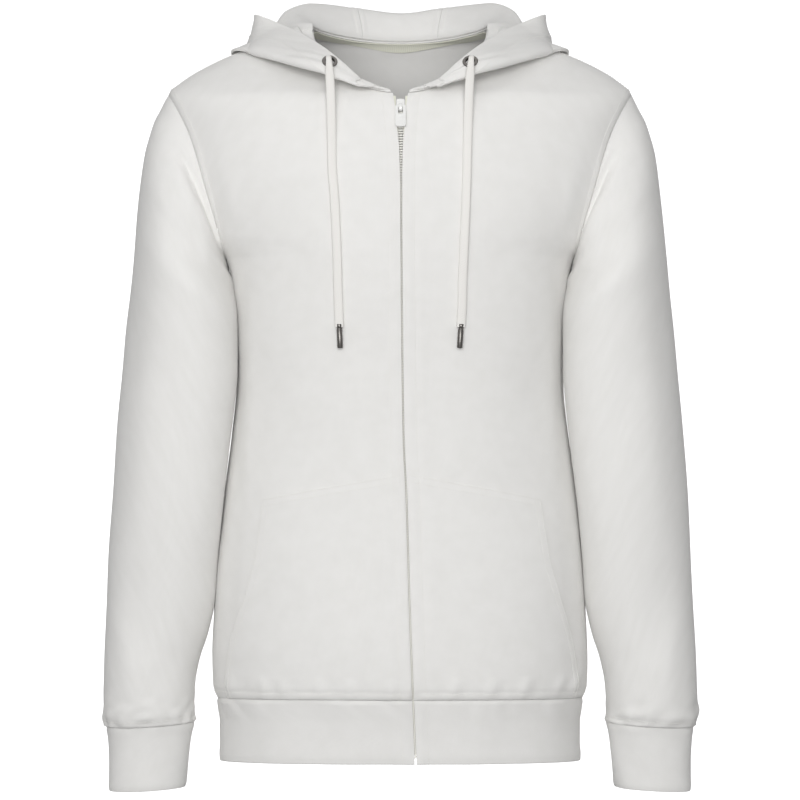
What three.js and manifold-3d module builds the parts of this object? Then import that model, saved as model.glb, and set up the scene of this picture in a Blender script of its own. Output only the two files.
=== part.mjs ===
// A full-zip hoodie of cotton sweat jersey, worn but with no wearer, in millimetres.
// Its front faces -Y and +Z is up. The origin lies between the wearer's shoulders.
// Every cloth piece is a wall raised on a grid of points that tables and formulas give.
import * as THREE from "three";
import { mergeVertices } from "three/addons/utils/BufferGeometryUtils.js";
import Module from "manifold-3d";

// Cloth thickness and the gaps between pieces
const PANEL_WALL = 1.8;
const BAND_WALL = 2.4;
const HOOD_WALL = 2.4;
const POCKET_WALL = 1.4;
const SEAM_GAP = 0.3;

// Neckline, armhole and hem
const NECK_HALF_WIDTH = 88;
const NECK_FRONT_DEPTH = 88;
const NECK_BACK_DEPTH = 68;
const NECK_FRONT_Z = -62;
const NECK_BACK_Z = 6;
const NECK_SIDE_Z = 14;
const SHOULDER_TIP = { x: 231, z: -55 };
const UNDERARM_Z = -222;
const ARMHOLE_CENTRE = new THREE.Vector3(201, 0, -138);
const ARMHOLE_AXIS = new THREE.Vector3(0.943, 0, -0.333).normalize();
const BAND_SEAM_Z = -657;
const HEM_Z = -719.5;
const HEM_TILT = 0.07;
const SECTION_POWER = 2.3;

// Grid sizes
const ARMHOLE_ROWS = 11;
const LOWER_LEVELS = [
  -656.85, -648, -632, -602, -566, -528, -488, -446, -396, -345, -298, -257, -222,
];
const LOWER_ROWS = LOWER_LEVELS.length - 1;
const FRONT_COLUMNS = 12;
const BACK_COLUMNS = 10;
const FRONT_NECK_COLUMN = 5;
const BACK_NECK_COLUMN = 5;
const POCKET_COLUMN = 7;
const POCKET_ROWS = 7;
const POCKET_SLANT = 26;

// Neck tape
const NECK_TAPE = { wall: 1, step: 18, reach: 72, near: 0.8, far: 7 };

// Zip: the tapes and the chain of teeth lie behind the front edges
const ZIP_DEPTH = 3.2;
const ZIP_TOP_Z = -63.5;
const ZIP_BOTTOM_Z = -714;
const ZIP_TAPE = { wall: 1, reach: 15, besideChain: 2.6, besideSlider: 4.7 };
const CHAIN = { top: -79.5, halfWidth: 2.3, thickness: 1.6 };

// The slider, and the pull tab that swings on its bail, in the slider's own leaning frame
const HINGE_Z = -76.5;
const SLIDER = { low: -2.6, high: 9.6, halfWidth: 4.2, back: 4.8, front: -0.3 };
const HINGE_OUT = 1.9;
const BAIL = { hole: 1.6, rim: 1.1, halfWidth: 1.2 };
const PULL = { halfWidth: 5.2, top: 0.9, bottom: -22.5, thickness: 1.4, corner: 3 };
const PULL_WINDOW = { halfWidth: 1.7, top: -0.9, bottom: -3.6 };

// Drawcord, with the eyelet it comes out of and the metal tip on its end
const EYELET = { along: 0.876, level: 7.48, hole: 4.6, barrel: 5.3, flange: 7.6, plate: 0.8 };
const CORD = { halfWidth: 4.1, halfThickness: 2, sides: 8, steps: 22 };
const TIP = { radius: 2.5, length: 20, round: 0.5 };
const CORD_ROUTES = {
  left: [
    [-69, -92, -29.9], [-69.1, -95.2, -28.4], [-69, -98.7, -29], [-68.7, -101, -32.2],
    [-68.4, -101.7, -37.5], [-68, -101.2, -45], [-67.4, -100.6, -56], [-66.7, -101.4, -73],
    [-66, -105, -104], [-65.4, -111, -135], [-62.8, -115.8, -169], [-61.2, -118, -202],
    [-60.3, -118, -225], [-59.9, -117.4, -247], [-59.1, -116.5, -269], [-58.3, -115.7, -290],
  ],
  right: [
    [69, -92, -29.9], [69.1, -95.2, -28.4], [69, -98.7, -29], [68.7, -101, -32.2],
    [68.3, -101.7, -37.5], [67.8, -101.2, -45], [67.1, -100.6, -56], [66.4, -101.4, -73],
    [65.3, -105, -104], [64.5, -111, -135], [63.4, -115.8, -169], [61.9, -118, -202],
    [61, -118, -225], [60.1, -117.4, -247], [59.8, -116.5, -269], [58.6, -115.7, -290],
  ],
};

// Colours and finishes
const CLOTH = { color: 0xe9e8e2, roughness: 0.9, metalness: 0 };
const TAPE = { color: 0xe6e3d6, roughness: 0.85, metalness: 0 };
const TEETH = { color: 0xeeede8, roughness: 0.4, metalness: 0 };
const METAL = { color: 0x5d5b58, roughness: 0.32, metalness: 1 };

// Monotone cubic curve through the points (xs[i], ys[i]), level past its ends.
function monotoneCurve(xs, ys) {
  const last = xs.length - 1;
  const slope = xs.slice(1).map((x, i) => (ys[i + 1] - ys[i]) / (x - xs[i]));
  const tangent = xs.map((_, i) => {
    if (i === 0) return slope[0];
    if (i === last) return slope[last - 1];
    if (slope[i - 1] * slope[i] <= 0) return 0;
    const before = xs[i] - xs[i - 1];
    const after = xs[i + 1] - xs[i];
    const w1 = 2 * after + before;
    const w2 = after + 2 * before;
    return (w1 + w2) / (w1 / slope[i - 1] + w2 / slope[i]);
  });
  return (x) => {
    if (x <= xs[0]) return ys[0];
    if (x >= xs[last]) return ys[last];
    const i = xs.findIndex((value) => value > x) - 1;
    const step = xs[i + 1] - xs[i];
    const t = (x - xs[i]) / step;
    const a = ys[i] * (1 + 2 * t) * (1 - t) ** 2 + step * tangent[i] * t * (1 - t) ** 2;
    const b = ys[i + 1] * t * t * (3 - 2 * t) + step * tangent[i + 1] * t * t * (t - 1);
    return a + b;
  };
}

// A table whose first column is the key; each other named column becomes a curve of it.
function table(columns, rows) {
  const sorted = [...rows].sort((a, b) => a[0] - b[0]);
  const keys = sorted.map((row) => row[0]);
  const curves = {};
  columns.slice(1).forEach((name, i) => {
    curves[name] = monotoneCurve(keys, sorted.map((row) => row[i + 1]));
  });
  return curves;
}

const clamp01 = (t) => Math.min(1, Math.max(0, t));
const mix = (a, b, t) => a + (b - a) * t;
const smooth = (t) => clamp01(t) ** 2 * (3 - 2 * clamp01(t));
const degrees = (angle) => (angle * Math.PI) / 180;
const vec = (x, y, z) => new THREE.Vector3(x, y, z);

// The worn body's section at each height: half width, and depth to the front and back.
const BODY = table(["z", "half", "front", "back"], [
  [14, 88, 12, 43], [12, 93.5, 13.5, 52], [10, 99, 15, 57.7], [8, 104.5, 16.5, 62.8],
  [6, 110, 18, 68], [-5, 140, 26, 76], [-22, 183, 44.5, 84], [-40, 215, 64, 90],
  [-55, 231, 80, 95], [-62, 232.5, 88, 98], [-100, 225, 103, 107], [-155, 212, 115, 113],
  [-200, 190, 119, 111], [-222, 172, 120, 110], [-250, 165.5, 119.5, 105],
  [-290, 163, 117, 99], [-345, 163.5, 114, 93], [-390, 167.5, 113, 92],
  [-430, 172, 113.5, 94], [-470, 177, 115, 98], [-520, 183, 117.5, 104],
  [-565, 185.3, 120, 108], [-615, 187.3, 121.5, 110], [-645, 186.5, 120, 109],
  [-657, 182, 115, 105], [-670, 180, 112, 103], [-680, 178.6, 110, 101],
  [-700, 178.5, 107.5, 100], [-724, 180.5, 106, 100],
]);

const ARMHOLE = table(["z", "front", "back"], [
  [-222, 172, 172], [-210, 174.5, 175.8], [-200, 177, 180], [-155, 190, 197],
  [-100, 207, 214], [-75, 219, 223], [-55, 231, 231],
]);

// The closed zip swings a little to one side on its way down and opens at the neck.
const ZIP = table(["z", "line", "gap"], [
  [-62, 0.5, 7.4], [-75, 0.5, 5.4], [-86, 0.6, 4.2], [-99, 0.7, 3.2], [-118, 0.9, 1.8],
  [-150, 1.1, 1.1], [-224, 1.5, 1], [-400, 3.5, 1], [-452, 6, 1], [-571, 9.4, 1],
  [-705, 14.6, 1], [-724, 15.4, 1],
]);

const SLEEVE_OUTER = table(["z", "x"], [
  [-55, 231], [-71, 239], [-82, 245], [-98, 250.3], [-113, 254.3], [-126, 256.4],
  [-148, 259], [-175, 261.8], [-219, 265.7], [-250, 268.5], [-290, 272.8],
  [-335, 276.7], [-379, 280.7], [-438, 285], [-494, 288.2], [-559, 291.5],
  [-610, 293.8], [-650, 294.8], [-673, 295.8], [-684, 292],
]);

const SLEEVE_INNER = table(["z", "x"], [
  [-222, 172], [-250, 167.5], [-290, 165.4], [-330, 165.6], [-360, 167.7],
  [-390, 170.8], [-430, 175.2], [-470, 180.2], [-520, 185.6], [-565, 188.4],
  [-593, 192], [-618, 199.2], [-641, 203.4], [-666, 204.5], [-679, 204],
]);

// Each sleeve ring leans: its outer point, its inner point and half its depth.
const SLEEVE_RINGS = table(["along", "outerZ", "innerZ", "depth", "y"], [
  [0, -55, -222, 62, 0], [0.05, -80, -229, 68, 0], [0.1, -110, -238, 73, -1],
  [0.16, -150, -251, 76, -2], [0.23, -195, -268, 76, -4], [0.32, -250, -295, 72, -6],
  [0.42, -320, -345, 66, -9], [0.55, -410, -418, 60, -12], [0.7, -510, -512, 54, -15],
  [0.82, -585, -585, 50, -17], [0.92, -650, -648, 46, -18], [0.97, -673, -668, 44, -18],
  [1, -684, -679, 37, -18],
]);
const SLEEVE_STOPS = [
  0, 0.04, 0.08, 0.12, 0.16, 0.205, 0.26, 0.32, 0.39, 0.46, 0.53, 0.61, 0.69, 0.77, 0.85,
  0.92, 0.97, 1,
];

const CUFF_RINGS = table(["along", "outerX", "outerZ", "innerX", "innerZ", "depth"], [
  [0, 291.6, -684.3, 204.3, -679.3, 36], [0.15, 289.6, -693, 207.4, -688, 33],
  [0.5, 288.3, -716, 210.6, -712, 29.5], [0.85, 288.6, -738, 212.4, -736, 27],
  [1, 289, -748, 213, -744, 26.5],
]);

// The hood hangs down behind. Along it, from the centre back (0) to the centre front (1),
// a crest stands above the neck seam, the lower fold hangs under it, and the mouth edge
// comes back up. Roll is the radius at which the cloth turns over the crest and the fold.
const CREST = hoodTable(["along", "x", "y", "z", "roll"], [
  [0, 0, 90, 37, 9], [0.146, 45, 89, 42, 9], [0.3, 92, 80, 46, 8.5], [0.42, 116, 58, 35, 7.5],
  [0.5, 122, 28, 18, 6.5], [0.62, 112, -16, 6, 5], [0.75, 88, -54, -15, 4],
  [0.88, 52, -86, -42, 3], [1, 14, -92, -59.5, 1.8],
]);
const FOLD = hoodTable(["along", "x", "y", "z", "roll"], [
  [0, 0, 142, -252, 11], [0.146, 42, 141, -250, 11], [0.3, 112, 128, -190, 11],
  [0.42, 158, 92, -70, 9], [0.5, 168, 16, -11, 8], [0.62, 151, -27, -19, 7],
  [0.75, 120, -70, -31, 6], [0.88, 72, -94, -42, 5], [1, 31, -96, -58, 2.5],
]);
const MOUTH = hoodTable(["along", "x", "y", "z"], [
  [0, 0, 150, 13], [0.146, 45, 148, 12], [0.3, 100, 130, 8], [0.42, 140, 88, 14],
  [0.5, 146, 22, 28], [0.62, 116, -16, 13], [0.75, 88, -52, -5], [0.88, 60, -85, -28],
  [1, 29, -92, -57],
]);
const HOOD_CLEARANCE = 2.6;
const HOOD_CENTRE_STOPS = [-0.146, -0.095, -0.045, 0, 0.045, 0.095, 0.146];
const HOOD_SIDE_STOPS = [
  0.146, 0.2, 0.25, 0.3, 0.345, 0.38, 0.405, 0.43, 0.455, 0.48, 0.51, 0.55, 0.6, 0.66, 0.72,
  0.78, 0.84, 0.9, 0.968,
];

// The hood is the same on both sides, so its tables carry on past the centre back.
function hoodTable(columns, rows) {
  const mirrored = rows.slice(1, 4).map(([along, x, ...rest]) => [-along, -x, ...rest]);
  return table(columns, [...mirrored, ...rows]);
}

// Depth of the body form at x and z: the front is on the negative side of Y.
function formDepth(x, z, face) {
  const across = clamp01(Math.abs(x) / BODY.half(z));
  return BODY[face](z) * (1 - across ** SECTION_POWER) ** (1 / SECTION_POWER);
}

function onForm(x, z, face) {
  const depth = formDepth(x, z, face);
  return vec(x, face === "front" ? -depth : depth, z);
}

// How far a point is outside the body form, and the direction straight out of it.
function offForm(point) {
  const level = (x, y, z) => {
    const depth = BODY[y < 0 ? "front" : "back"](z);
    const sum = (Math.abs(x) / BODY.half(z)) ** SECTION_POWER + (Math.abs(y) / depth) ** SECTION_POWER;
    return sum ** (1 / SECTION_POWER);
  };
  const { x, y, z } = point;
  const here = level(x, y, z);
  const out = vec(
    level(x + 0.5, y, z) - level(x - 0.5, y, z),
    level(x, y + 0.5, z) - level(x, y - 0.5, z),
    level(x, y, z + 0.5) - level(x, y, z - 0.5),
  );
  return { distance: (here - 1) / Math.max(out.length(), 1e-4), out: out.normalize() };
}

// Moves a point that lies in the body, or too close over it, straight out of it.
function clearOfBody(point, clearance) {
  for (let i = 0; i < 6; i++) {
    const { distance, out } = offForm(point);
    if (distance >= clearance) return point;
    point.addScaledVector(out, Math.min(6, clearance - distance));
  }
  return point;
}

// The hem dips towards the back, fading out above the waist.
function tilt(point, sign = -1) {
  const fade = smooth((-300 - point.z) / 320);
  return vec(point.x, point.y, point.z + sign * HEM_TILT * point.y * fade);
}

// The neckline, at an angle from the centre back (0) to the centre front (180).
function neckPoint(angle) {
  const a = degrees(angle);
  const side = Math.sin(a);
  if (angle <= 90) {
    const rise = (NECK_SIDE_Z - NECK_BACK_Z) * side ** 2;
    return vec(NECK_HALF_WIDTH * side, NECK_BACK_DEPTH * Math.cos(a), NECK_BACK_Z + rise);
  }
  const rise = (NECK_SIDE_Z - NECK_FRONT_Z) * (1 + Math.cos(a));
  return vec(NECK_HALF_WIDTH * side, NECK_FRONT_DEPTH * Math.cos(a), NECK_FRONT_Z + rise);
}

function shoulderPoint(t) {
  const x = mix(NECK_HALF_WIDTH, SHOULDER_TIP.x, t);
  let low = SHOULDER_TIP.z;
  let high = NECK_SIDE_Z;
  for (let i = 0; i < 40; i++) {
    const middle = (low + high) / 2;
    if (BODY.half(middle) > x) low = middle;
    else high = middle;
  }
  return vec(x, 0, (low + high) / 2);
}

const armholeZ = (t) => mix(UNDERARM_Z, SHOULDER_TIP.z, Math.sin((Math.PI * t) / 2) ** 2);

// A panel's edge points and its inside points, on the viewer's right; x is from the centre.
function panelGrid(face, side) {
  const isFront = face === "front";
  const columns = isFront ? FRONT_COLUMNS : BACK_COLUMNS;
  const neckColumn = isFront ? FRONT_NECK_COLUMN : BACK_NECK_COLUMN;
  const centre = (z) => (isFront ? side * ZIP.line(z) + ZIP.gap(z) : 0);
  const firstAngle = (z) => Math.asin(centre(z) / BODY.half(z));
  const sectionX = (i, z) => {
    const start = firstAngle(z);
    const share = isFront ? frontShare(i, z) : i / columns;
    return BODY.half(z) * Math.sin(mix(start, Math.PI / 2, share));
  };
  const rows = [];
  for (let j = 0; j <= LOWER_ROWS; j++) {
    const z = LOWER_LEVELS[j];
    const row = [];
    for (let i = 0; i <= columns; i++) {
      const low = isFront && i <= POCKET_COLUMN ? pocketLevel(i, j, z) : z;
      row.push(tilt(onForm(i === columns ? BODY.half(low) : sectionX(i, low), low, face)));
    }
    rows.push(row);
  }
  const bottom = rows[LOWER_ROWS].map((p) => vec(p.x, 0, UNDERARM_Z));
  const top = [];
  for (let i = 0; i <= columns; i++) {
    if (i <= neckColumn) {
      const first = isFront ? (Math.asin(centre(NECK_FRONT_Z) / NECK_HALF_WIDTH) * 180) / Math.PI : 0;
      const angle = mix(first, 90, i / neckColumn);
      top.push(neckPoint(isFront ? 180 - angle : angle));
    } else {
      top.push(shoulderPoint((i - neckColumn) / (columns - neckColumn)));
    }
  }
  for (let j = 1; j <= ARMHOLE_ROWS; j++) {
    const t = j / ARMHOLE_ROWS;
    const topZ = top[0].z;
    const centreZ = mix(UNDERARM_Z, topZ, 1 - (1 - t) ** 1.6);
    const sideZ = armholeZ(t);
    const left = vec(centre(centreZ), 0, centreZ);
    const right = vec(ARMHOLE[face](sideZ), 0, sideZ);
    const row = [];
    for (let i = 0; i <= columns; i++) {
      const s = i / columns;
      const rise = mix(1 - (1 - t) ** 1.6, Math.sin((Math.PI * t) / 2) ** 2, s);
      const x = coons(bottom, top, left, right, i, columns, s, rise, "x");
      const z = coons(bottom, top, left, right, i, columns, s, rise, "z");
      if (i === columns) row.push(onForm(right.x, right.z, face));
      else if (j === ARMHOLE_ROWS) row.push(top[i].clone());
      else row.push(onForm(x, z, face));
    }
    rows.push(row);
  }
  rows[rows.length - 1][columns] = vec(SHOULDER_TIP.x, 0, SHOULDER_TIP.z);
  return rows;
}

// One coordinate of a blend between the four edges of a panel's upper part.
function coons(bottom, top, left, right, i, columns, s, rise, axis) {
  const upDown = mix(bottom[i][axis], top[i][axis], rise);
  const leftError = left[axis] - mix(bottom[0][axis], top[0][axis], rise);
  const rightError = right[axis] - mix(bottom[columns][axis], top[columns][axis], rise);
  return upDown + (1 - s) * leftError + s * rightError;
}

// The front's columns follow the pocket's slanted opening where there is a pocket.
const POCKET_EDGE = table(["z", "angle"], [
  [-222, 50.4], [-380, 50], [-459, 50.5], [-514, 51.5], [-553, 55.5], [-602, 64], [-643, 68],
  [-657, 68.5],
]);

function frontShare(i, z) {
  const edge = POCKET_EDGE.angle(z) / 90;
  if (i <= POCKET_COLUMN) return edge * (i / POCKET_COLUMN) ** 1.08;
  return mix(edge, 1, (i - POCKET_COLUMN) / (FRONT_COLUMNS - POCKET_COLUMN));
}

// The row at the pocket's top slants down from the zip to the opening's upper end.
function pocketLevel(i, j, z) {
  const drop = POCKET_SLANT * (i / POCKET_COLUMN - 0.5);
  const near = clamp01(1 - Math.abs(j - POCKET_ROWS) / 3);
  return z - drop * near;
}

// Unit normals of a grid from its neighbours, pointing out.
function gridNormals(grid, closed, flip) {
  const rows = grid.length;
  const columns = grid[0].length;
  const at = (r, c) => {
    const wrapped = closed ? (c + columns) % columns : Math.min(columns - 1, Math.max(0, c));
    return grid[Math.min(rows - 1, Math.max(0, r))][wrapped];
  };
  return grid.map((row, r) =>
    row.map((_, c) => {
      const along = at(r, c + 1).clone().sub(at(r, c - 1));
      const up = at(r + 1, c).clone().sub(at(r - 1, c));
      const normal = along.cross(up).normalize();
      return flip ? normal.negate() : normal;
    }),
  );
}

// A closed wall between a grid and the same grid moved in, with its rims.
function wall(grid, options) {
  const { closed = false, flip = false, outer = 0, inner, edges } = options;
  const normals = gridNormals(grid, closed, flip);
  if (edges) edges(normals, grid);
  const rows = grid.length;
  const columns = grid[0].length;
  const positions = [];
  for (const offset of [outer, -inner]) {
    grid.forEach((row, r) =>
      row.forEach((p, c) => positions.push(...p.clone().addScaledVector(normals[r][c], offset))),
    );
  }
  const layer = rows * columns;
  const id = (r, c, side) => side * layer + r * columns + (c % columns);
  const index = [];
  const quad = (a, b, c, d) => {
    if (flip) index.push(a, c, b, a, d, c);
    else index.push(a, b, c, a, c, d);
  };
  const spans = closed ? columns : columns - 1;
  for (let r = 0; r < rows - 1; r++) {
    for (let c = 0; c < spans; c++) {
      quad(id(r, c, 0), id(r, c + 1, 0), id(r + 1, c + 1, 0), id(r + 1, c, 0));
      quad(id(r, c, 1), id(r + 1, c, 1), id(r + 1, c + 1, 1), id(r, c + 1, 1));
    }
  }
  for (let c = 0; c < spans; c++) {
    quad(id(0, c, 1), id(0, c + 1, 1), id(0, c + 1, 0), id(0, c, 0));
    quad(id(rows - 1, c, 0), id(rows - 1, c + 1, 0), id(rows - 1, c + 1, 1), id(rows - 1, c, 1));
  }
  if (!closed) {
    for (let r = 0; r < rows - 1; r++) {
      quad(id(r, 0, 0), id(r + 1, 0, 0), id(r + 1, 0, 1), id(r, 0, 1));
      const c = columns - 1;
      quad(id(r, c, 1), id(r + 1, c, 1), id(r + 1, c, 0), id(r, c, 0));
    }
  }
  return indexed(positions, index);
}

function indexed(positions, index) {
  const geometry = new THREE.BufferGeometry();
  geometry.setAttribute("position", new THREE.Float32BufferAttribute(positions, 3));
  geometry.setIndex(index);
  geometry.computeVertexNormals();
  return geometry;
}

// Takes the part of a rim's normal along one direction away, so that neighbours stay parallel.
function flatten(normal, direction) {
  return normal.addScaledVector(direction, -normal.dot(direction)).normalize();
}

const X_AXIS = vec(1, 0, 0);
const Y_AXIS = vec(0, 1, 0);
const HEM_NORMAL = vec(0, HEM_TILT, 1).normalize();

// The direction in which the armhole's rim is thick: away from the armhole's centre.
function armholeNormal(point, side) {
  const axis = ARMHOLE_AXIS.clone().multiply(vec(side, 1, 1));
  const centre = ARMHOLE_CENTRE.clone().multiply(vec(side, 1, 1));
  return flatten(point.clone().sub(centre), axis);
}

// Every seam edge of a panel is drawn back by half the seam gap and its rim set square to it.
function panelEdges(face, side, sides) {
  const towardFace = face === "front" ? -1 : 1;
  const axis = ARMHOLE_AXIS.clone().multiply(vec(side, 1, 1));
  return (normals, grid) => {
    const last = grid[0].length - 1;
    const neckColumn = face === "front" ? FRONT_NECK_COLUMN : BACK_NECK_COLUMN;
    grid.forEach((row, r) => {
      sides.forEach((isLeft) => {
        const c = isLeft ? 0 : last;
        const mirror = isLeft ? -1 : 1;
        if (r <= LOWER_ROWS) {
          flatten(normals[r][c], Y_AXIS);
          row[c].y += (towardFace * SEAM_GAP) / 2;
        }
        if (r >= LOWER_ROWS) {
          const own = axis.clone().multiply(vec(mirror, 1, 1));
          normals[r][c].copy(armholeNormal(row[c], side * mirror));
          row[c].addScaledVector(own, -SEAM_GAP / 2);
        }
      });
      if (face === "front") flatten(normals[r][0], X_AXIS);
    });
    const top = grid.length - 1;
    grid[top].forEach((p, c) => {
      const fromSide = Math.abs(face === "back" ? Math.abs(c - last / 2) : c);
      if (fromSide >= neckColumn) {
        if (Math.abs(Math.abs(p.x) - SHOULDER_TIP.x) > 1) {
          const slope = shoulderSlope(p.x);
          normals[top][c].copy(slope);
        }
        p.y = (towardFace * SEAM_GAP) / 2;
      }
    });
    grid[0].forEach((_, c) => flatten(normals[0][c], HEM_NORMAL));
  };
}

function shoulderSlope(x) {
  const t = (Math.abs(x) - NECK_HALF_WIDTH) / (SHOULDER_TIP.x - NECK_HALF_WIDTH);
  const a = shoulderPoint(clamp01(t - 0.04));
  const b = shoulderPoint(clamp01(t + 0.04));
  return vec(Math.sign(x) * (a.z - b.z), 0, b.x - a.x).normalize();
}

const mirrorGrid = (grid) => grid.map((row) => row.map((p) => vec(-p.x, p.y, p.z)));

function frontPanel(side) {
  const grid = panelGrid("front", side);
  const placed = side > 0 ? grid : mirrorGrid(grid);
  return wall(placed, {
    flip: side < 0,
    inner: PANEL_WALL,
    edges: panelEdges("front", side, [false]),
  });
}

// Both halves of the back, joined at its centre.
function backGrid() {
  const half = panelGrid("back", 1);
  return half.map((row) => [...row.slice(1).reverse().map((p) => vec(-p.x, p.y, p.z)), ...row]);
}

function backPanel() {
  return wall(backGrid(), {
    flip: true,
    inner: PANEL_WALL,
    edges: panelEdges("back", 1, [true, false]),
  });
}

// A kangaroo pocket half lies on its front panel, moved out.
function pocket(side) {
  const grid = panelGrid("front", side)
    .slice(0, POCKET_ROWS + 1)
    .map((row) => row.slice(0, POCKET_COLUMN + 1));
  const placed = side > 0 ? grid : mirrorGrid(grid);
  return wall(placed, {
    flip: side < 0,
    outer: POCKET_WALL + SEAM_GAP,
    inner: -SEAM_GAP,
    edges: (normals, points) => {
      points.forEach((row, r) => {
        row[0].x += side * 2;
        flatten(normals[r][0], X_AXIS);
      });
      normals[0].forEach((normal) => flatten(normal, HEM_NORMAL));
    },
  });
}

// The waistband runs from one side of the zip round the back to the other.
function waistband() {
  const columns = 44;
  const levels = [HEM_Z, -700, -680, -668, BAND_SEAM_Z - SEAM_GAP / 2];
  const grid = levels.map((z) => {
    const row = [];
    for (let i = 0; i <= columns; i++) {
      const start = Math.asin((ZIP.gap(z) + ZIP.line(z)) / BODY.half(z));
      const end = 2 * Math.PI - Math.asin((ZIP.gap(z) - ZIP.line(z)) / BODY.half(z));
      const angle = mix(start, end, i / columns);
      const x = BODY.half(z) * Math.sin(angle);
      row.push(tilt(onForm(x, z, Math.cos(angle) > 0 ? "front" : "back")));
    }
    return row;
  });
  return wall(grid, {
    inner: BAND_WALL,
    edges: (normals, points) => {
      const top = points.length - 1;
      points.forEach((_, r) => {
        flatten(normals[r][0], X_AXIS);
        flatten(normals[r][columns], X_AXIS);
      });
      normals[top].forEach((normal) => flatten(normal, HEM_NORMAL));
    },
  });
}

// One point of a sleeve: the angle is 0 at its outer side and 180 under the arm.
function sleevePoint(along, angle, side) {
  const outerZ = SLEEVE_RINGS.outerZ(along);
  const innerZ = SLEEVE_RINGS.innerZ(along);
  const outer = vec(SLEEVE_OUTER.x(outerZ), 0, outerZ);
  const inner = vec(SLEEVE_INNER.x(innerZ), 0, innerZ);
  const centre = outer.clone().add(inner).multiplyScalar(0.5);
  const reach = outer.sub(inner).multiplyScalar(0.5 * Math.cos(angle));
  const point = centre.add(reach);
  point.y = SLEEVE_RINGS.y(along) - SLEEVE_RINGS.depth(along) * Math.sin(angle);
  const fade = 1 - smooth(along / 0.15);
  if (fade > 0) {
    const onEdge = armholePoint(angle);
    const onRing = sleeveStart(angle);
    point.addScaledVector(onEdge.sub(onRing), fade);
  }
  return vec(point.x * side, point.y, point.z);
}

function armholePoint(angle) {
  const z = mix(UNDERARM_Z, SHOULDER_TIP.z, Math.cos(angle / 2) ** 2);
  const face = Math.sin(angle) >= 0 ? "front" : "back";
  if (Math.abs(Math.sin(angle)) < 1e-6) return vec(ARMHOLE.front(z), 0, z);
  return onForm(ARMHOLE[face](z), z, face);
}

function sleeveStart(angle) {
  const x = mix(SLEEVE_INNER.x(UNDERARM_Z), SLEEVE_OUTER.x(SHOULDER_TIP.z), Math.cos(angle / 2) ** 2);
  const z = mix(UNDERARM_Z, SHOULDER_TIP.z, Math.cos(angle / 2) ** 2);
  return vec(x, -SLEEVE_RINGS.depth(0) * Math.sin(angle), z);
}

function sleeve(side) {
  const columns = 2 * ARMHOLE_ROWS;
  const grid = SLEEVE_STOPS.map((along) => {
    const row = [];
    for (let i = 0; i < columns; i++) {
      row.push(sleevePoint(along, (2 * Math.PI * i) / columns, side));
    }
    return row;
  });
  const axis = ARMHOLE_AXIS.clone().multiply(vec(side, 1, 1));
  const cuffAxis = vec(0.057 * side, 0, 0.998);
  return wall(grid, {
    closed: true,
    flip: side < 0,
    inner: PANEL_WALL,
    edges: (normals, points) => {
      points[0].forEach((p, c) => {
        normals[0][c].copy(armholeNormal(p, side));
        p.addScaledVector(axis, SEAM_GAP / 2);
      });
      const last = points.length - 1;
      normals[last].forEach((normal) => flatten(normal, cuffAxis));
    },
  });
}

function cuff(side) {
  const columns = 22;
  const stops = [0, 0.15, 0.5, 1];
  const cuffAxis = vec(0.057 * side, 0, 0.998);
  const grid = stops.map((along) => {
    const row = [];
    for (let i = 0; i < columns; i++) {
      const angle = (2 * Math.PI * i) / columns;
      const share = (1 + Math.cos(angle)) / 2;
      const x = mix(CUFF_RINGS.innerX(along), CUFF_RINGS.outerX(along), share);
      const z = mix(CUFF_RINGS.innerZ(along), CUFF_RINGS.outerZ(along), share);
      const y = SLEEVE_RINGS.y(1) - CUFF_RINGS.depth(along) * Math.sin(angle);
      row.push(vec(side * x, y, z));
    }
    return row;
  });
  return wall(grid, {
    closed: true,
    flip: side < 0,
    inner: BAND_WALL,
    edges: (normals) => normals[0].forEach((normal) => flatten(normal, cuffAxis)),
  });
}

const tablePoint = (curves, along) => vec(curves.x(along), curves.y(along), curves.z(along));

// The three points that carry the cloth round a fold of the hood.
function rolled(apex, before, after, radius) {
  const toBefore = before.clone().sub(apex).normalize();
  const toAfter = after.clone().sub(apex).normalize();
  const inside = toBefore.clone().add(toAfter).normalize();
  const across = toAfter.clone().sub(toBefore).normalize();
  const side = (sign) =>
    apex.clone().addScaledVector(inside, 0.55 * radius).addScaledVector(across, sign * 0.87 * radius);
  return [side(-1), apex, side(1)];
}

// The hood's section at one place along the neckline, from the neck seam to the mouth edge.
function hoodProfile(along) {
  const neck = neckPoint(180 * Math.abs(along));
  neck.x *= Math.sign(along) || 1;
  neck.z += SEAM_GAP;
  const crest = tablePoint(CREST, along);
  const fold = tablePoint(FOLD, along);
  const mouth = tablePoint(MOUTH, along);
  const stand = neck.clone();
  stand.z += mix(1.5, 7, smooth((1 - Math.abs(along)) / 0.2));
  const curve = new THREE.CatmullRomCurve3(
    [
      neck,
      stand,
      ...rolled(crest, neck, fold, CREST.roll(along)),
      ...rolled(fold, crest, mouth, FOLD.roll(along)),
      mouth,
    ],
    false,
    "centripetal",
  );
  return curve;
}

// Rows along the hood's section, counted in the points that carry it: the neck seam is 0,
// the crest 3, the fold 6 and the mouth edge 8. They are closer together at the turns.
const PROFILE_STOPS = [
  0, 1, 2, 2.5, 3, 3.5, 4, 4.3, 4.65, 5, 5.5, 6, 6.5, 7, 7.33, 7.67, 8,
];

function hoodGrid(stops, side) {
  const curves = stops.map(hoodProfile);
  return PROFILE_STOPS.map((t) =>
    curves.map((curve) => {
      const clearance = HOOD_WALL / 2 + HOOD_CLEARANCE;
      const p = t < 1.5 ? curve.getPoint(t / 8) : clearOfBody(curve.getPoint(t / 8), clearance);
      return vec(side * p.x, p.y, p.z);
    }),
  );
}

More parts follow.
